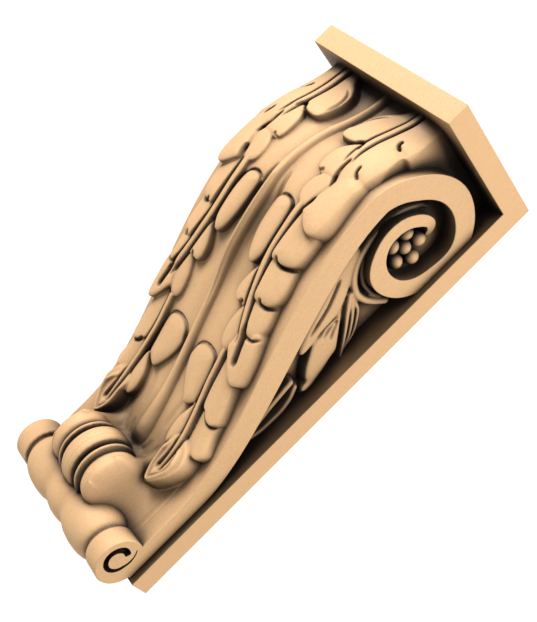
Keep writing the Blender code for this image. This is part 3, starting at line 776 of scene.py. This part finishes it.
@dataclass
class FrontCarving:
    """The whole carved front: three pairs of acanthus leaves on a ground with a rib up its middle."""

    half_width: float = 57.0
    free_edge: Sequence[Point] = ((224, 57), (231, 51.8), (234, 52.6), (240, 52.2), (248, 51.4),
        (254.6, 50.6), (257.6, 52.2), (263, 52), (272, 51.2), (284, 50.4))
    narrowing: Point = (228.0, 246.0)
    root_half: Point = (43.3, 45.6)
    root_depth: Point = (7.0, 24.0)
    spacing: float = 0.44
    undercut: float = 0.18
    typical_step: float = 5.0
    edge: Point = (46.5, 54.0)
    reach: float = 98.6
    dive: float = -2.5
    columns: Sequence[float] = (0, 7, 15, 30, 46.5)
    rim_level: float = 0.2
    ground: dict[float, Sequence[float]] = field(default_factory=lambda: {
        -20: (1, 1, 1, 0.6),
        0: (1, 1, 1, 0.4),
        25: (2.5, 2.5, 2.5, 0.6),
        45: (4, 3.6, 3.2, 1.6),
        62: (4, 4, 3.8, 2.6),
        90: (4.2, 4, 4, 3.4),
        112: (4.6, 4.5, 5, 4.6),
        135: (5, 4.2, 4.6, 4.8),
        155: (7.6, 4, 3.2, 4.6),
        175: (8.6, 4.4, 4.8, 5),
        195: (8.8, 5.2, 6.4, 6),
        208: (8.8, 7.8, 7.8, 6.4),
        222: (7, 7, 7, 6),
        232: (5.2, 5.2, 5.6, 5),
        242: (3.6, 3.6, 4.6, 4.2),
        255: (1.8, 1.5, 3.2, 3.4),
        270: (1.2, 0.4, 0.8, 2.4),
        295: (1, 0.4, 0.4, 2),
    })
    skirt: Sequence[Point] = ((4, 27), (12, 27.6), (22, 28.4))
    skirt_rise: float = 5.0
    skirt_reach: float = 4.0
    flank_height: float = 31.1
    flank_level: float = 12.5
    flank_across: Sequence[Point] = ((12, 0), (16, 0.25), (20, 0.7), (22, 0.93), (23.4, 0.99), (24.2, 0.985),
        (25.2, 0.94), (26.2, 0.86), (27.6, 0.69), (29.2, 0.49), (30.8, 0.33), (32.4, 0.22), (34.4, 0.13),
        (37, 0.06), (40, 0.02), (43, 0))
    flank_along: Sequence[Point] = ((0, 1), (4, 0.985), (8, 0.94), (12, 0.85), (15, 0.73), (17, 0.59),
        (19, 0.41), (21, 0.26), (23.5, 0.14), (26, 0.06), (29, 0.015), (32, 0))
    rib: Sequence[Triple] = ((-20, 5, 0), (33, 5, 0), (37, 6.4, 1.6), (42, 7.4, 3), (48, 7.2, 3.6),
        (60, 6, 3.6), (75, 4.9, 3.4), (95, 4.2, 3.4), (125, 3.8, 3), (150, 3.7, 2.8), (165, 3.6, 3.6),
        (210, 3.6, 3.7), (240, 3.5, 2.8), (290, 3.7, 3.2))
    rib_fullness: float = 0.9
    flutes: Sequence[Incision] = (
        Incision(((18.2, 45), (17.2, 39), (14.8, 33)), 1.6, 0.5, (0.4, 0.1)),
        Incision(((11.6, 44), (10.6, 39), (8.4, 34)), 1.4, 0.5, (0.4, 0.1)),
        Incision(((17.8, 78), (14.6, 66), (13.4, 54)), 2.4, 0.7, (0.4, 0.4)),
        Incision(((5.6, 214), (7, 206), (8.4, 198), (9, 190)), 1.4, 1.6, (0.4, 0.4)),
        Incision(((1.3, 214), (1.3, 170), (1.3, 128)), 0.6, 0.7, (0.2, 0.2)),
    )

    def ground_at(self, at: Grid) -> np.ndarray:
        """Height of the bare front between the leaves.

        Args:
            at: Distances from the middle, without sign, and distances along the front.

        Returns:
            Heights in millimetres.
        """
        across, s = at
        rows = [(*row, self.rim_level) for row in self.ground.values()]
        lines = [smooth_line(list(self.ground), column, s) for column in zip(*rows)]
        height = lines[0]
        for k, (near, far) in enumerate(zip(self.columns, self.columns[1:])):
            t = clamped((across - near) / (far - near))
            height = height + (lines[k + 1] - lines[k]) * t * t * (3 - 2 * t)
        height = height + np.interp(across, self.edge, (0.0, self.dive))
        stations, *measures = zip(*self.rib)
        half, rise = (smooth_line(stations, measure, s) for measure in measures)
        height = height + rise * clamped(1 - (across / half) ** 2) ** self.rib_fullness
        for line in (*self.flutes, *HOOD_LINES):
            height = height - line.depth_at(at)
        away, _ = path_distance(at, curved_path(self.skirt))
        height = height + self.skirt_rise * np.exp(-((away / self.skirt_reach) ** 2))
        flank = self.flank_height * smooth_line(*zip(*self.flank_across), across) * smooth_line(
            *zip(*self.flank_along), np.abs(s - self.flank_level))
        return height + flank

    def build(self, ruler: Ruler) -> bpy.types.Object:
        """Carves the grid and roots it in the core.

        Args:
            ruler: The front's curve.

        Returns:
            The object.
        """
        leaves = AcanthusHalf()
        ends = first, last = ruler.along[0], ruler.along[-1]

        def face(u: np.ndarray, v: np.ndarray) -> Places:
            """The carved face, whose leaves lean down over the ground."""
            s = between(ends, v)
            x = (u - 0.5) * 2 * smooth_line(*zip(*self.free_edge), s)
            ground = self.ground_at((np.abs(x), s))
            height = np.maximum(ground, leaves.height_at((np.abs(x), s - self.undercut * self.typical_step)))
            y, z = ruler.place(np.maximum(s - self.undercut * (height - ground), first), height)
            return x, np.maximum(y, -self.reach), z

        def root(u: np.ndarray, v: np.ndarray) -> Places:
            """The hidden face inside the core."""
            s = between(ends, v)
            y, z = ruler.place(s, -smooth_line(self.narrowing, self.root_depth, s))
            return (u - 0.5) * 2 * smooth_line(self.narrowing, self.root_half, s), y, z

        cells = (round(2 * self.half_width / self.spacing), round((last - first) / self.spacing))
        return relief_solid("front_carving", cells, face, root)


@dataclass
class Volute:
    """The shape of a side band: up the front, over the top and inwards in a spiral."""

    centre: Point = (-43.0, 236.0)
    outer: Sequence[float] = (45.4, 41.4, 42.3, 41.7, 34, 32.1, 30.3, 24, 20.4, 18.5, 18.4, 16, 11)
    inner: Sequence[float] = (31.5, 26.8, 28.1, 28.9, 23, 21.1, 18.4, 15.3, 11.9, 10.9, 12.4, 11.7, 10)
    end: float = 492.0
    step: float = 4.0
    back_foot: float = -13.9
    back_top: float = 55.5
    back_handles: Point = (51.3, 51.4)
    foot: float = 1.0
    front_every: int = 5
    back_every: int = 6
    softening: float = 0.6
    sink_from: float = 428.0
    sink: float = 7.0
    sink_power: float = 1.5
    sink_margin: float = 1.5
    face_depth: float = 2.0

    def radius(self, radii: Sequence[float], turns: np.ndarray) -> np.ndarray:
        """The spiral's radius at some turns in degrees, from its radii at each eighth of a turn."""
        return smooth_line(np.arange(len(radii)) * EIGHTH_TURN, radii, turns)

    def edge(self, radii: Sequence[float]) -> list[Point]:
        """One edge of the spiral as points (y, z), from the front over the top to the inner end."""
        turns = up_to(0.0, self.end, self.step)
        return around(self.centre, self.radius(radii, turns), turns, -1)

    def back(self, ruler: Ruler) -> np.ndarray:
        """The band's rear edge, from above its foot to the volute."""
        top = (self.centre[0] - self.inner[0], self.centre[1])
        return ruler.upright((self.back_foot, self.back_top), top, self.back_handles)

    def build(self, ruler: Ruler, side: Side) -> bpy.types.Object:
        """Extrudes the band and lets the end of its spiral sink into the recess.

        Args:
            ruler: The front's curve.
            side: The side that it is for.

        Returns:
            The object.
        """
        front, back = ruler.front()[:-1:self.front_every], self.back(ruler)[:-1:self.back_every]
        outline = [(ruler.FOOT_FRONT, self.foot), *map(tuple, front), *self.edge(self.outer)]
        outline += [*self.edge(self.inner)[::-1], *map(tuple, back[::-1]), (self.back_foot, self.foot)]
        made = prism(f"band_{side.name.lower()}", outline, side.value * BAND_ROOT, side.value * BAND_FACE,
                     self.softening)
        self._sink_end(made, side)
        return made

    def _sink_end(self, made: bpy.types.Object, side: Side) -> None:
        """Lowers the outer face along the last part of the spiral.

        Args:
            made: The band.
            side: Its side.
        """
        co = np.empty(len(made.data.vertices) * 3, np.float32)
        made.data.vertices.foreach_get("co", co)
        co = co.reshape(-1, 3)
        y, z = co[:, 1] / MM - self.centre[0], co[:, 2] / MM + HEIGHT / 2 - self.centre[1]
        turn = np.degrees(np.arctan2(z, -y)) % 360 + 360
        inner_turn = np.hypot(y, z) < self.radius(self.outer, turn) + self.sink_margin
        outside = np.abs(co[:, 0]) > (BAND_FACE - self.face_depth) * MM
        share = clamped((turn - self.sink_from) / (self.end - self.sink_from))
        co[:, 0] -= side.value * np.where(inner_turn & outside, share**self.sink_power * self.sink, 0.0) * MM
        made.data.vertices.foreach_set("co", co.ravel())
        made.data.update()


@dataclass
class SideCarving:
    """The carving in the recess of one side: a husk round the volute, a leaf below it and its stalk."""

    levels: Point = (92.0, 264.0)
    rear: float = -8.0
    under_band: float = 4.0
    spacing: float = 0.5
    floor: float = -1.2
    leaflets: Sequence[Leaflet] = (
        Leaflet(((-70, 216), (-66, 202), (-60, 186), (-54, 174), (-48.6, 163), (-44, 156), (-40.4, 152.8),
            (-37.6, 153), (-36.6, 156.2), (-37.2, 162), (-38.4, 170), (-38.8, 179), (-41, 187), (-47, 196),
            (-54, 204), (-60, 212)), (4, 5.6), crown=1.8, rounding=4.4),
        Leaflet(((-43.5, 192.6), (-38.8, 180), (-38.2, 170), (-37.4, 162), (-33, 156.2), (-28, 150.2),
            (-23.2, 146.2), (-20.2, 144.8), (-19.4, 141.2), (-17.6, 139.2), (-15.4, 140.8), (-14.8, 145),
            (-15.8, 150), (-17.6, 157), (-19.6, 164), (-21.6, 171), (-28, 178), (-36, 186)), (4.6, 6.4),
            crown=1.5, rounding=4),
        Leaflet(((-22, 170), (-16.4, 165), (-12.6, 158), (-11, 150), (-11, 142), (-11.8, 138.6),
            (-14.6, 137.6), (-17.4, 138.6), (-18.4, 146), (-19.4, 156)), (1.4, 2.8), crown=1.4, rounding=3),
    )
    cuts: Sequence[Incision] = (
        Incision(((-58, 196), (-53, 188), (-49, 180.5), (-46.4, 173), (-43.6, 163)), 0.9, 1.7, (0.1, 0.2)),
        Incision(((-36.6, 180.6), (-36.7, 174), (-34.8, 167.4)), 0.8, 1.2, (0.1, 0.3)),
        Incision(((-36.4, 180.4), (-33.4, 174.6), (-29.8, 170)), 0.8, 1.2, (0.1, 0.2)),
        Incision(((-44, 193), (-37, 185.4), (-29, 178.6), (-20.6, 171.6), (-14, 167.6)), 1.5, 2.6,
            (0.2, 0.1)),
        Incision(((-38.8, 186), (-38.6, 176), (-38, 165)), 1, 0.8, (0.3, 0.2)),
    )
    stem: Sequence[Rod] = (
        Rod(((-43, 194.6), (-35, 187.6), (-27, 181.2), (-19, 174.2), (-12.2, 167.6)), (1.9, 0.9), (5.2, 4.4),
            rise=1.2),
        Rod(((-40, 194.4), (-33, 190.4), (-25.4, 184.8), (-18.6, 178), (-12.4, 168.4)), (1.6, 0.8), (5, 3.6),
            rise=1),
        Rod(((-37.6, 194.6), (-31, 193.2), (-24.6, 188.8), (-17.8, 181.6), (-12.8, 170)), (1.4, 0.8),
            (4.6, 2.8), rise=1),
    )
    husk: Sequence[Rod] = (
        Rod(((-46, 257.4), (-52.4, 254.2), (-57.4, 249), (-60.6, 242.4), (-61.8, 234), (-61.6, 224),
            (-59.6, 214.6), (-56.4, 208), (-51.6, 202.6), (-46, 199.2), (-40, 197.6), (-33.6, 198.8),
            (-27.6, 202), (-21.4, 207.2)), (2.1, 2.5), (4, 5.8), rise=1.8, start_fade=0.12),
        Rod(((-59.6, 240), (-59.2, 226), (-56.8, 216.4), (-52, 209.8), (-46, 205.8), (-39.6, 204),
            (-33, 204.2), (-26, 206.6)), (1.8, 1.9), (3.6, 5), rise=1.5, start_fade=0.2),
    )
    stalk: Sequence[Rod] = (
        Rod(((-26.4, 138.6), (-25.2, 130), (-23.8, 121), (-21.6, 111), (-18.6, 100)), (2, 1.6), (4.4, 3.6),
            rise=1.4),
        Rod(((-21.8, 138.6), (-17.2, 131), (-15, 121), (-15.2, 111), (-17.2, 101)), (1.7, 1.6), (4.6, 3.8),
            rise=1.4),
    )

    def height_at(self, at: Grid) -> np.ndarray:
        """Height of the carving out of the recessed wall.

        Args:
            at: Places towards the wall, and levels.

        Returns:
            Heights in millimetres.
        """
        height = Leaf(self.leaflets, (), self.cuts).height_at(at)
        for rod in (*self.stem, *self.stalk, *self.husk):
            height = np.maximum(height, rod.standing_at(at))
        return np.maximum(height, self.floor)

    def build(self, ruler: Ruler, volute: Volute, side: Side) -> bpy.types.Object:
        """Carves the recess of one side, from under the band to the plate.

        Args:
            ruler: The front's curve.
            volute: The band that the carving runs under.
            side: The side that it is for.

        Returns:
            The object.
        """
        back = volute.back(ruler)

        def wall(u: np.ndarray, v: np.ndarray) -> Grid:
            """Places on the recessed wall."""
            z = between(self.levels, v)
            return between((np.interp(z, back[:, 1], back[:, 0]) - self.under_band, self.rear), u), z

        def face(u: np.ndarray, v: np.ndarray) -> Places:
            """The carved face."""
            at = wall(u, v)
            return side.value * (RECESS_WALL + self.height_at(at)), *at

        def root(u: np.ndarray, v: np.ndarray) -> Places:
            """The hidden face inside the core."""
            return np.full(np.shape(u), side.value * (RECESS_WALL - OVERLAP)), *wall(u, v)

        width = self.rear - volute.centre[0] + volute.inner[0]
        cells = (round(width / self.spacing), round((self.levels[1] - self.levels[0]) / self.spacing))
        return relief_solid(f"side_carving_{side.name.lower()}", cells, face, root)


@dataclass
class Rosette:
    """The ball flower in the volute's eye: one ball with five more round it."""

    centre: Point = (-39.0, 233.5)
    depth: float = 49.6
    radius: float = 4.8
    middle_scale: float = 0.92
    ring: float = 9.3
    balls: int = 5
    root_radius: float = 3.0
    span: Point = (-50.0, 88.0)
    rows: int = 12
    segments: int = 24

    def build(self, side: Side) -> list[bpy.types.Object]:
        """Makes each ball with a short neck into the wall.

        Args:
            side: The side that it is for.

        Returns:
            The balls.
        """
        turns = [2 * math.pi * k / self.balls for k in range(self.balls)]
        places = [(0.0, 0.0, self.radius * self.middle_scale)]
        places += [(self.ring * math.cos(turn), self.ring * math.sin(turn), self.radius) for turn in turns]
        angles = np.radians(np.linspace(*self.span, self.rows))
        made = []
        for number, (dy, dz, radius) in enumerate(places):
            centre = (self.centre[0] + dy, self.centre[1] + dz)
            half = [(RECESS_WALL - OVERLAP, self.root_radius)]
            half += [(self.depth + radius * math.sin(a), radius * math.cos(a)) for a in angles]
            stations = [(side.value * x, *centre, r) for x, r in half]
            made.append(lathe(f"ball_{side.name.lower()}_{number}", stations, self.segments))
        return made


def mirrored(stations: Sequence[tuple]) -> list[tuple]:
    """Stations of one half and their mirror images, in order across the corbel."""
    return [(-first, *rest) for first, *rest in reversed(stations) if first > 0] + list(stations)


@dataclass
class Bolster:
    """The turned roll at the foot, which ends in a small scroll on each side.

    The stations are (place across, radius), and rim holds (place inwards of the end, loss of radius).
    """

    axis: Point = (-29.0, 6.0)
    scroll_radius: float = 14.7
    stations: Sequence[Point] = ((0, 16.5), (3, 16.4), (6, 16), (8.4, 15.3), (10.5, 14.9), (12.6, 15.3),
        (15, 16.1), (18, 16.8), (21, 17.1), (24, 17.28), (27, 17.3), (30.5, 17.15), (34, 16.7), (37.2, 15.9),
        (39.6, 14.7), (41.2, 13.6), (42, 12.5), (43, 12), (43.8, 12.2), (44.3, 13.4), (44.9, 14.2),
        (46, 14.6))
    rim: Sequence[Point] = ((0.7, 0), (0.2, 0.25), (0, 0.7))
    segments: int = 72

    def build(self) -> bpy.types.Object:
        """Turns the roll and its two scrolls in one."""
        ends = [(BAND_FACE - inwards, self.scroll_radius - loss) for inwards, loss in self.rim]
        half = [(x, *self.axis, radius) for x, radius in (*self.stations, *ends)]
        return lathe("bolster", mirrored(half), self.segments)


@dataclass
class Collar:
    """The ribbed collar above the roll: a belt, two ribs and a bulge on each side that ends in the ground.

    The stations are (place across, radius). Drift gives the centre's y where it leaves the axis.
    """

    axis: Point = (-38.0, 30.0)
    stations: Sequence[Point] = ((0, 20.5), (2, 20.5), (2.5, 20.25), (3, 20.4), (4.4, 20.2), (4.9, 19.7),
        (5.6, 19.5), (6.2, 18.6), (6.7, 16.6), (7.2, 15.4), (8.8, 15.2), (9.4, 16.6), (9.9, 18.3), (10.6, 19),
        (11.4, 19), (12, 18.2), (12.6, 16.4), (13.2, 15.4), (14.2, 15.6), (15, 16.6), (16.4, 17.6),
        (18.4, 18.1), (20.4, 18.3), (22.4, 18.2), (23.4, 17.9), (24.2, 17.2), (25, 15.8), (26, 13), (27, 10))
    drift: Sequence[Point] = ((16.4, -38.1), (18.4, -38.2), (20.4, -38.2), (22.4, -38.1), (25, -37.6),
        (26, -36), (27, -34))
    segments: int = 80

    def build(self) -> bpy.types.Object:
        """Turns the collar, whose centre runs back into the body towards its ends."""
        centres = dict(self.drift)
        half = [(x, centres.get(x, self.axis[0]), self.axis[1], radius) for x, radius in self.stations]
        return lathe("collar", mirrored(half), self.segments)


@dataclass
class ScrollGroove:
    """The spiral gouged into the end of each small scroll, wide at its inner end and thin at the rim.

    The stations are (turn in degrees, radius, half width).
    """

    centre: Point = (-31.5, 6.3)
    stations: Sequence[Triple] = ((58, 6.3, 1.2), (66, 6.3, 1.9), (100, 6.8, 2), (165, 6.8, 1.8),
        (220, 6.9, 1.6), (274, 7, 1.4), (342, 6.9, 1.05), (385, 8.7, 0.7), (412, 10.8, 0.45),
        (424, 11.8, 0.3))
    step: float = 6.0
    depth: float = 3.6
    above: float = 2.0

    def build(self, side: Side) -> bpy.types.Object:
        """Extrudes the spiral's outline from below the end's face to above it.

        Args:
            side: The side that it is for.

        Returns:
            The object that is cut out.
        """
        degrees, radii, halves = np.array(self.stations).T
        turns = up_to(degrees[0], degrees[-1], self.step)
        radius, half = smooth_line(degrees, radii, turns), smooth_line(degrees, halves, turns)
        outline = around(self.centre, radius + half, turns) + around(self.centre, radius - half, turns)[::-1]
        return prism(f"scroll_groove_{side.name.lower()}", outline, side.value * (BAND_FACE - self.depth),
                     side.value * (BAND_FACE + self.above))


def hex_to_linear(code: str) -> tuple[float, float, float, float]:
    """An sRGB hex colour as linear red, green, blue and alpha, as a shader takes it."""
    parts = [int(code[k:k + 2], 16) / 255 for k in (0, 2, 4)]
    return (*(c / 12.92 if c <= 0.04045 else ((c + 0.055) / 1.055) ** 2.4 for c in parts), 1.0)


def add_node(tree: bpy.types.NodeTree, kind: str, settings: dict | None = None,
             links: dict | None = None) -> bpy.types.Node:
    """Adds a node with its settings and links.

    Args:
        tree: The material's or world's tree.
        kind: The node's type.
        settings: Properties by name, and input values by the input's name or number.
        links: Output sockets by the input's name or number.

    Returns:
        The node.
    """
    node = tree.nodes.new(kind)
    for name, value in (settings or {}).items():
        if isinstance(name, int) or name in node.inputs:
            node.inputs[name].default_value = value
        else:
            setattr(node, name, value)
    for name, socket in (links or {}).items():
        tree.links.new(socket, node.inputs[name])
    return node


@dataclass(frozen=True)
class BareLimewood:
    """Carved and sanded limewood without a coating, with painted shade in its hollows.

    Limewood is pale and close-grained, so carvers choose it for leaves. Ambient occlusion paints shade into
    the colour: dark brown in creases and near black in deep hollows, where shade falls.
    """

    pale: str = "DAB184"
    warm: str = "C29A6E"
    # Painted shade: dark brown for creases that ambient occlusion finds within a short reach
    crease_shade: str = "3A2616"
    # Painted shade: near black for deep hollows that ambient occlusion finds within the wide reach
    hollow_shade: str = "1A110A"
    grain_width: float = 1.2
    grain_length: float = 5.0
    pore: float = 0.55
    grain_weight: float = 0.15
    pore_weight: float = 0.5
    warm_from: Point = (0.18, 0.47)
    line_reach: float = 8.0
    line_light: Point = (0.36, 0.96)
    hollow_reach: float = 34.0
    hollow_light: Point = (0.37, 0.97)
    hollow_power: float = 1.35
    roughness: float = 0.62
    bump: float = 0.12

    def build(self) -> bpy.types.Material:
        """Builds the material on object coordinates.

        Returns:
            The material.
        """
        # The material paints shade into its hollows
        material = bpy.data.materials.new("bare_limewood_with_darkened_hollows")
        material.use_nodes = True
        tree = material.node_tree
        tree.nodes.clear()
        place = add_node(tree, "ShaderNodeTexCoord").outputs["Object"]
        scale = [1 / (size * MM) for size in (self.grain_width, self.grain_width, self.grain_length)]
        stretch = add_node(tree, "ShaderNodeMapping", {"Scale": scale}, {"Vector": place}).outputs[0]
        grain = add_node(tree, "ShaderNodeTexNoise", {"Scale": 1.0, "Detail": 4.0, "Roughness": 0.6},
                         {"Vector": stretch}).outputs["Fac"]
        pores = add_node(tree, "ShaderNodeTexNoise",
                         {"Scale": 1 / (self.pore * MM), "Detail": 2.0, "Roughness": 0.7},
                         {"Vector": place}).outputs["Fac"]
        pores = add_node(tree, "ShaderNodeMath", {"operation": "MULTIPLY", 1: self.pore_weight},
                         {0: pores}).outputs[0]
        speckle = add_node(tree, "ShaderNodeMath", {"operation": "MULTIPLY_ADD", 1: self.grain_weight},
                           {0: grain, 2: pores}).outputs[0]
        speckle = self._share(tree, speckle, self.warm_from)
        wood = add_node(tree, "ShaderNodeMix", {"data_type": "RGBA", 6: hex_to_linear(self.pale),
                                                7: hex_to_linear(self.warm)}, {"Factor": speckle}).outputs[2]
        line_share = self._openness(tree, self.line_reach, self.line_light)
        open_share = self._openness(tree, self.hollow_reach, self.hollow_light)
        open_share = add_node(tree, "ShaderNodeMath", {"operation": "POWER", 1: self.hollow_power},
                              {0: open_share}).outputs[0]
        # Painted shade: ambient occlusion mixes the crease colour and then the hollow colour into the wood
        # where shade falls
        crease_shaded = self._darkened(tree, line_share, self.crease_shade, wood)
        final = self._darkened(tree, open_share, self.hollow_shade, crease_shaded)
        bump = add_node(tree, "ShaderNodeBump", {"Strength": 0.25, "Distance": self.bump * MM},
                        {"Height": speckle})
        shader = add_node(tree, "ShaderNodeBsdfPrincipled",
                          {"Roughness": self.roughness, "IOR": 1.47, "Specular IOR Level": 0.3},
                          {"Base Color": final, "Normal": bump.outputs[0]})
        add_node(tree, "ShaderNodeOutputMaterial", links={"Surface": shader.outputs[0]})
        return material

    @staticmethod
    def _share(tree: bpy.types.NodeTree, value: bpy.types.NodeSocket, span: Point) -> bpy.types.NodeSocket:
        """How far a value has come from the lower to the upper end of a span, from 0 to 1."""
        return add_node(tree, "ShaderNodeMapRange", {"From Min": span[0], "From Max": span[1]},
                        {"Value": value}).outputs[0]

    def _openness(self, tree: bpy.types.NodeTree, reach: float, span: Point) -> bpy.types.NodeSocket:
        """How open the surface lies within a reach in millimetres, from 0 to 1."""
        open_sky = add_node(tree, "ShaderNodeAmbientOcclusion", {"samples": 12, "Distance": reach * MM})
        return self._share(tree, open_sky.outputs["AO"], span)

    @staticmethod
    def _darkened(tree: bpy.types.NodeTree, share: bpy.types.NodeSocket, dark: str,
                  light: bpy.types.NodeSocket) -> bpy.types.NodeSocket:
        """A colour that goes from a dark painted shade to a given one with a share."""
        return add_node(tree, "ShaderNodeMix", {"data_type": "RGBA", 6: hex_to_linear(dark)},
                        {"Factor": share, 7: light}).outputs[2]


def triangle_count(mesh: bpy.types.Mesh) -> int:
    """How many triangles the faces of a mesh make."""
    return sum(len(face.vertices) - 2 for face in mesh.polygons)


@dataclass
class Corbel:
    """The whole corbel, joined from its parts into one carved piece."""

    smooth_angle: float = 55.0
    most_triangles: int = 196_000
    knee_across: Point = (20.6, 28.0)
    knee_front: float = -38.0
    knee_levels: Point = (23.6, 52.0)
    knee_passes: int = 26

    def parts(self) -> tuple[list[bpy.types.Object], list[bpy.types.Object]]:
        """Builds every part.

        Returns:
            What is joined, and what is cut out.
        """
        ruler, volute = Ruler(), Volute()
        solids = [Slab().build(), Core().build(ruler), FrontCarving().build(ruler)]
        cutters = []
        for side in Side:
            solids += [volute.build(ruler, side), SideCarving().build(ruler, volute, side)]
            solids += Rosette().build(side)
            cutters.append(ScrollGroove().build(side))
        solids += [Bolster().build(), Collar().build()]
        for solid in solids:
            LOG.info("%s: %d faces", solid.name, len(solid.data.polygons))
        return solids, cutters

    def build(self) -> bpy.types.Object:
        """Joins the parts, thins the mesh, smooths its shading and dresses the piece.

        Returns:
            The piece.
        """
        mesh = self._joined()
        self._sand_knees(mesh)
        mesh.shade_smooth()
        mesh.materials.clear()
        mesh.materials.append(BareLimewood().build())
        piece = bpy.data.objects.new(PIECE, mesh)
        bpy.context.scene.collection.objects.link(piece)
        LOG.info("joined: %d triangles", triangle_count(mesh))
        thinner = piece.modifiers.new("thinner", "DECIMATE")
        thinner.ratio = min(1.0, self.most_triangles / triangle_count(mesh))
        mesh = bpy.data.meshes.new_from_object(piece.evaluated_get(bpy.context.evaluated_depsgraph_get()))
        mesh.set_sharp_from_angle(angle=math.radians(self.smooth_angle))
        piece.modifiers.clear()
        piece.data = mesh
        mesh.name = PIECE
        flatter = piece.modifiers.new("flatter", "WEIGHTED_NORMAL")
        flatter.keep_sharp = True
        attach(piece, "root")
        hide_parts(NODE)
        LOG.info("%s: %d triangles", PIECE, triangle_count(mesh))
        return piece

    def _joined(self) -> bpy.types.Mesh:
        """Joins the parts and cuts the grooves out.

        Returns:
            The mesh. The parts are gone.
        """
        (base, *others), cutters = self.parts()
        for operation, helpers in (("UNION", others), ("DIFFERENCE", cutters)):
            for helper in helpers:
                step = base.modifiers.new(helper.name, "BOOLEAN")
                step.operation, step.solver, step.object = operation, "MANIFOLD", helper
        mesh = bpy.data.meshes.new_from_object(base.evaluated_get(bpy.context.evaluated_depsgraph_get()))
        for helper in (base, *others, *cutters):
            bpy.data.objects.remove(helper, do_unlink=True)
        return mesh

    def _sand_knees(self, mesh: bpy.types.Mesh) -> None:
        """Blends the collar's two bulges into their flanks, which come from another part.

        Args:
            mesh: The joined mesh.
        """
        builder = bmesh.new()
        builder.from_mesh(mesh)
        x, y, z = np.array([vert.co for vert in builder.verts]).T / MM
        x, z = np.abs(x), z + HEIGHT / 2
        near = ((x > self.knee_across[0]) & (x < self.knee_across[1]) & (y < self.knee_front)
                & (z > self.knee_levels[0]) & (z < self.knee_levels[1]))
        sanded(builder, [vert for vert, chosen in zip(builder.verts, near) if chosen], self.knee_passes)
        builder.to_mesh(mesh)
        builder.free()


@dataclass(frozen=True)
class Lamp:
    """A large soft lamp that points at the corbel. Its place and size are in metres, its power in watts."""

    name: str
    place: Triple
    size: float
    power: float

    def build(self) -> None:
        """Hangs the lamp."""
        data = bpy.data.lights.new(self.name, "AREA")
        data.shape, data.size, data.energy = "SQUARE", self.size, self.power
        lamp = bpy.data.objects.new(self.name, data)
        lamp.location = self.place
        towards = -Matrix.Translation(self.place).to_translation()
        lamp.rotation_euler = towards.to_track_quat("-Z", "Y").to_euler()
        bpy.context.scene.collection.objects.link(lamp)


@dataclass
class Studio:
    """Plain pale floor, soft light and the camera at the photograph's viewing angle, all in metres."""

    floor_drop: float = 1.1
    floor_half: float = 1.5
    room: float = 0.34
    backdrop: float = 1.1
    backdrop_from: Point = (0.72, 0.88)
    camera_place: Triple = (0.4663, -0.4982, -0.0024)
    right: Triple = (0.50989, 0.48785, 0.70854)
    up: Triple = (-0.49597, -0.50626, 0.70549)
    back: Triple = (0.70287, -0.71113, -0.01618)
    lens: float = 66.75
    sensor: float = 36.0
    clip: Point = (0.01, 50.0)
    lamps: Sequence[Lamp] = (
        Lamp("key", (-0.5, -1.3, 0.75), 0.7, 35.0), Lamp("fill", (1.25, -0.15, 0.95), 0.9, 29.0))

    def build(self) -> None:
        """Makes the floor, the world, the lights and the camera."""
        self._floor()
        self._world()
        for lamp in self.lamps:
            lamp.build()
        data = bpy.data.cameras.new("camera")
        data.lens, data.sensor_width, data.sensor_fit = self.lens, self.sensor, "AUTO"
        data.clip_start, data.clip_end = self.clip
        camera = bpy.data.objects.new("camera", data)
        turn = Matrix((self.right, self.up, self.back)).transposed()
        camera.matrix_world = Matrix.Translation(self.camera_place) @ turn.to_4x4()
        bpy.context.scene.collection.objects.link(camera)
        bpy.context.scene.camera = camera
        bpy.context.scene.view_settings.view_transform = "Standard"
        bpy.context.scene.view_settings.look = "None"

    def _floor(self) -> None:
        """A plain pale floor well below the corbel."""
        builder = bmesh.new()
        bmesh.ops.create_grid(builder, x_segments=1, y_segments=1, size=self.floor_half)
        bmesh.ops.translate(builder, verts=builder.verts[:], vec=(0.0, 0.0, -self.floor_drop))
        floor = linked("floor", builder)
        material = bpy.data.materials.new("white_painted_board")
        material.use_nodes = True
        shader = material.node_tree.nodes["Principled BSDF"]
        shader.inputs["Base Color"].default_value = hex_to_linear("ECECE8")
        shader.inputs["Roughness"].default_value = 0.9
        floor.data.materials.append(material)

    def _world(self) -> None:
        """A dim even room with a white backdrop behind the corbel."""
        world = bpy.data.worlds.new("room_with_white_backdrop")
        world.use_nodes = True
        tree = world.node_tree
        tree.nodes.clear()
        direction = add_node(tree, "ShaderNodeTexCoord").outputs["Generated"]
        facing = add_node(tree, "ShaderNodeVectorMath",
                          {"operation": "DOT_PRODUCT", 1: [-part for part in self.back]}, {0: direction})
        backdrop = add_node(tree, "ShaderNodeMapRange",
                            {"From Min": self.backdrop_from[0], "From Max": self.backdrop_from[1],
                             "To Min": self.room, "To Max": self.backdrop},
                            {"Value": facing.outputs["Value"]}).outputs[0]
        light = add_node(tree, "ShaderNodeBackground", {"Color": hex_to_linear("FFFFFF")},
                         {"Strength": backdrop})
        add_node(tree, "ShaderNodeOutputWorld", links={"Surface": light.outputs[0]})
        bpy.context.scene.world = world


def main() -> None:
    """Loads the frame, builds the corbel and its studio."""
    logging.basicConfig(level=logging.INFO, format="%(message)s")
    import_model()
    Corbel().build()
    Studio().build()


if __name__ == "__main__":
    main()
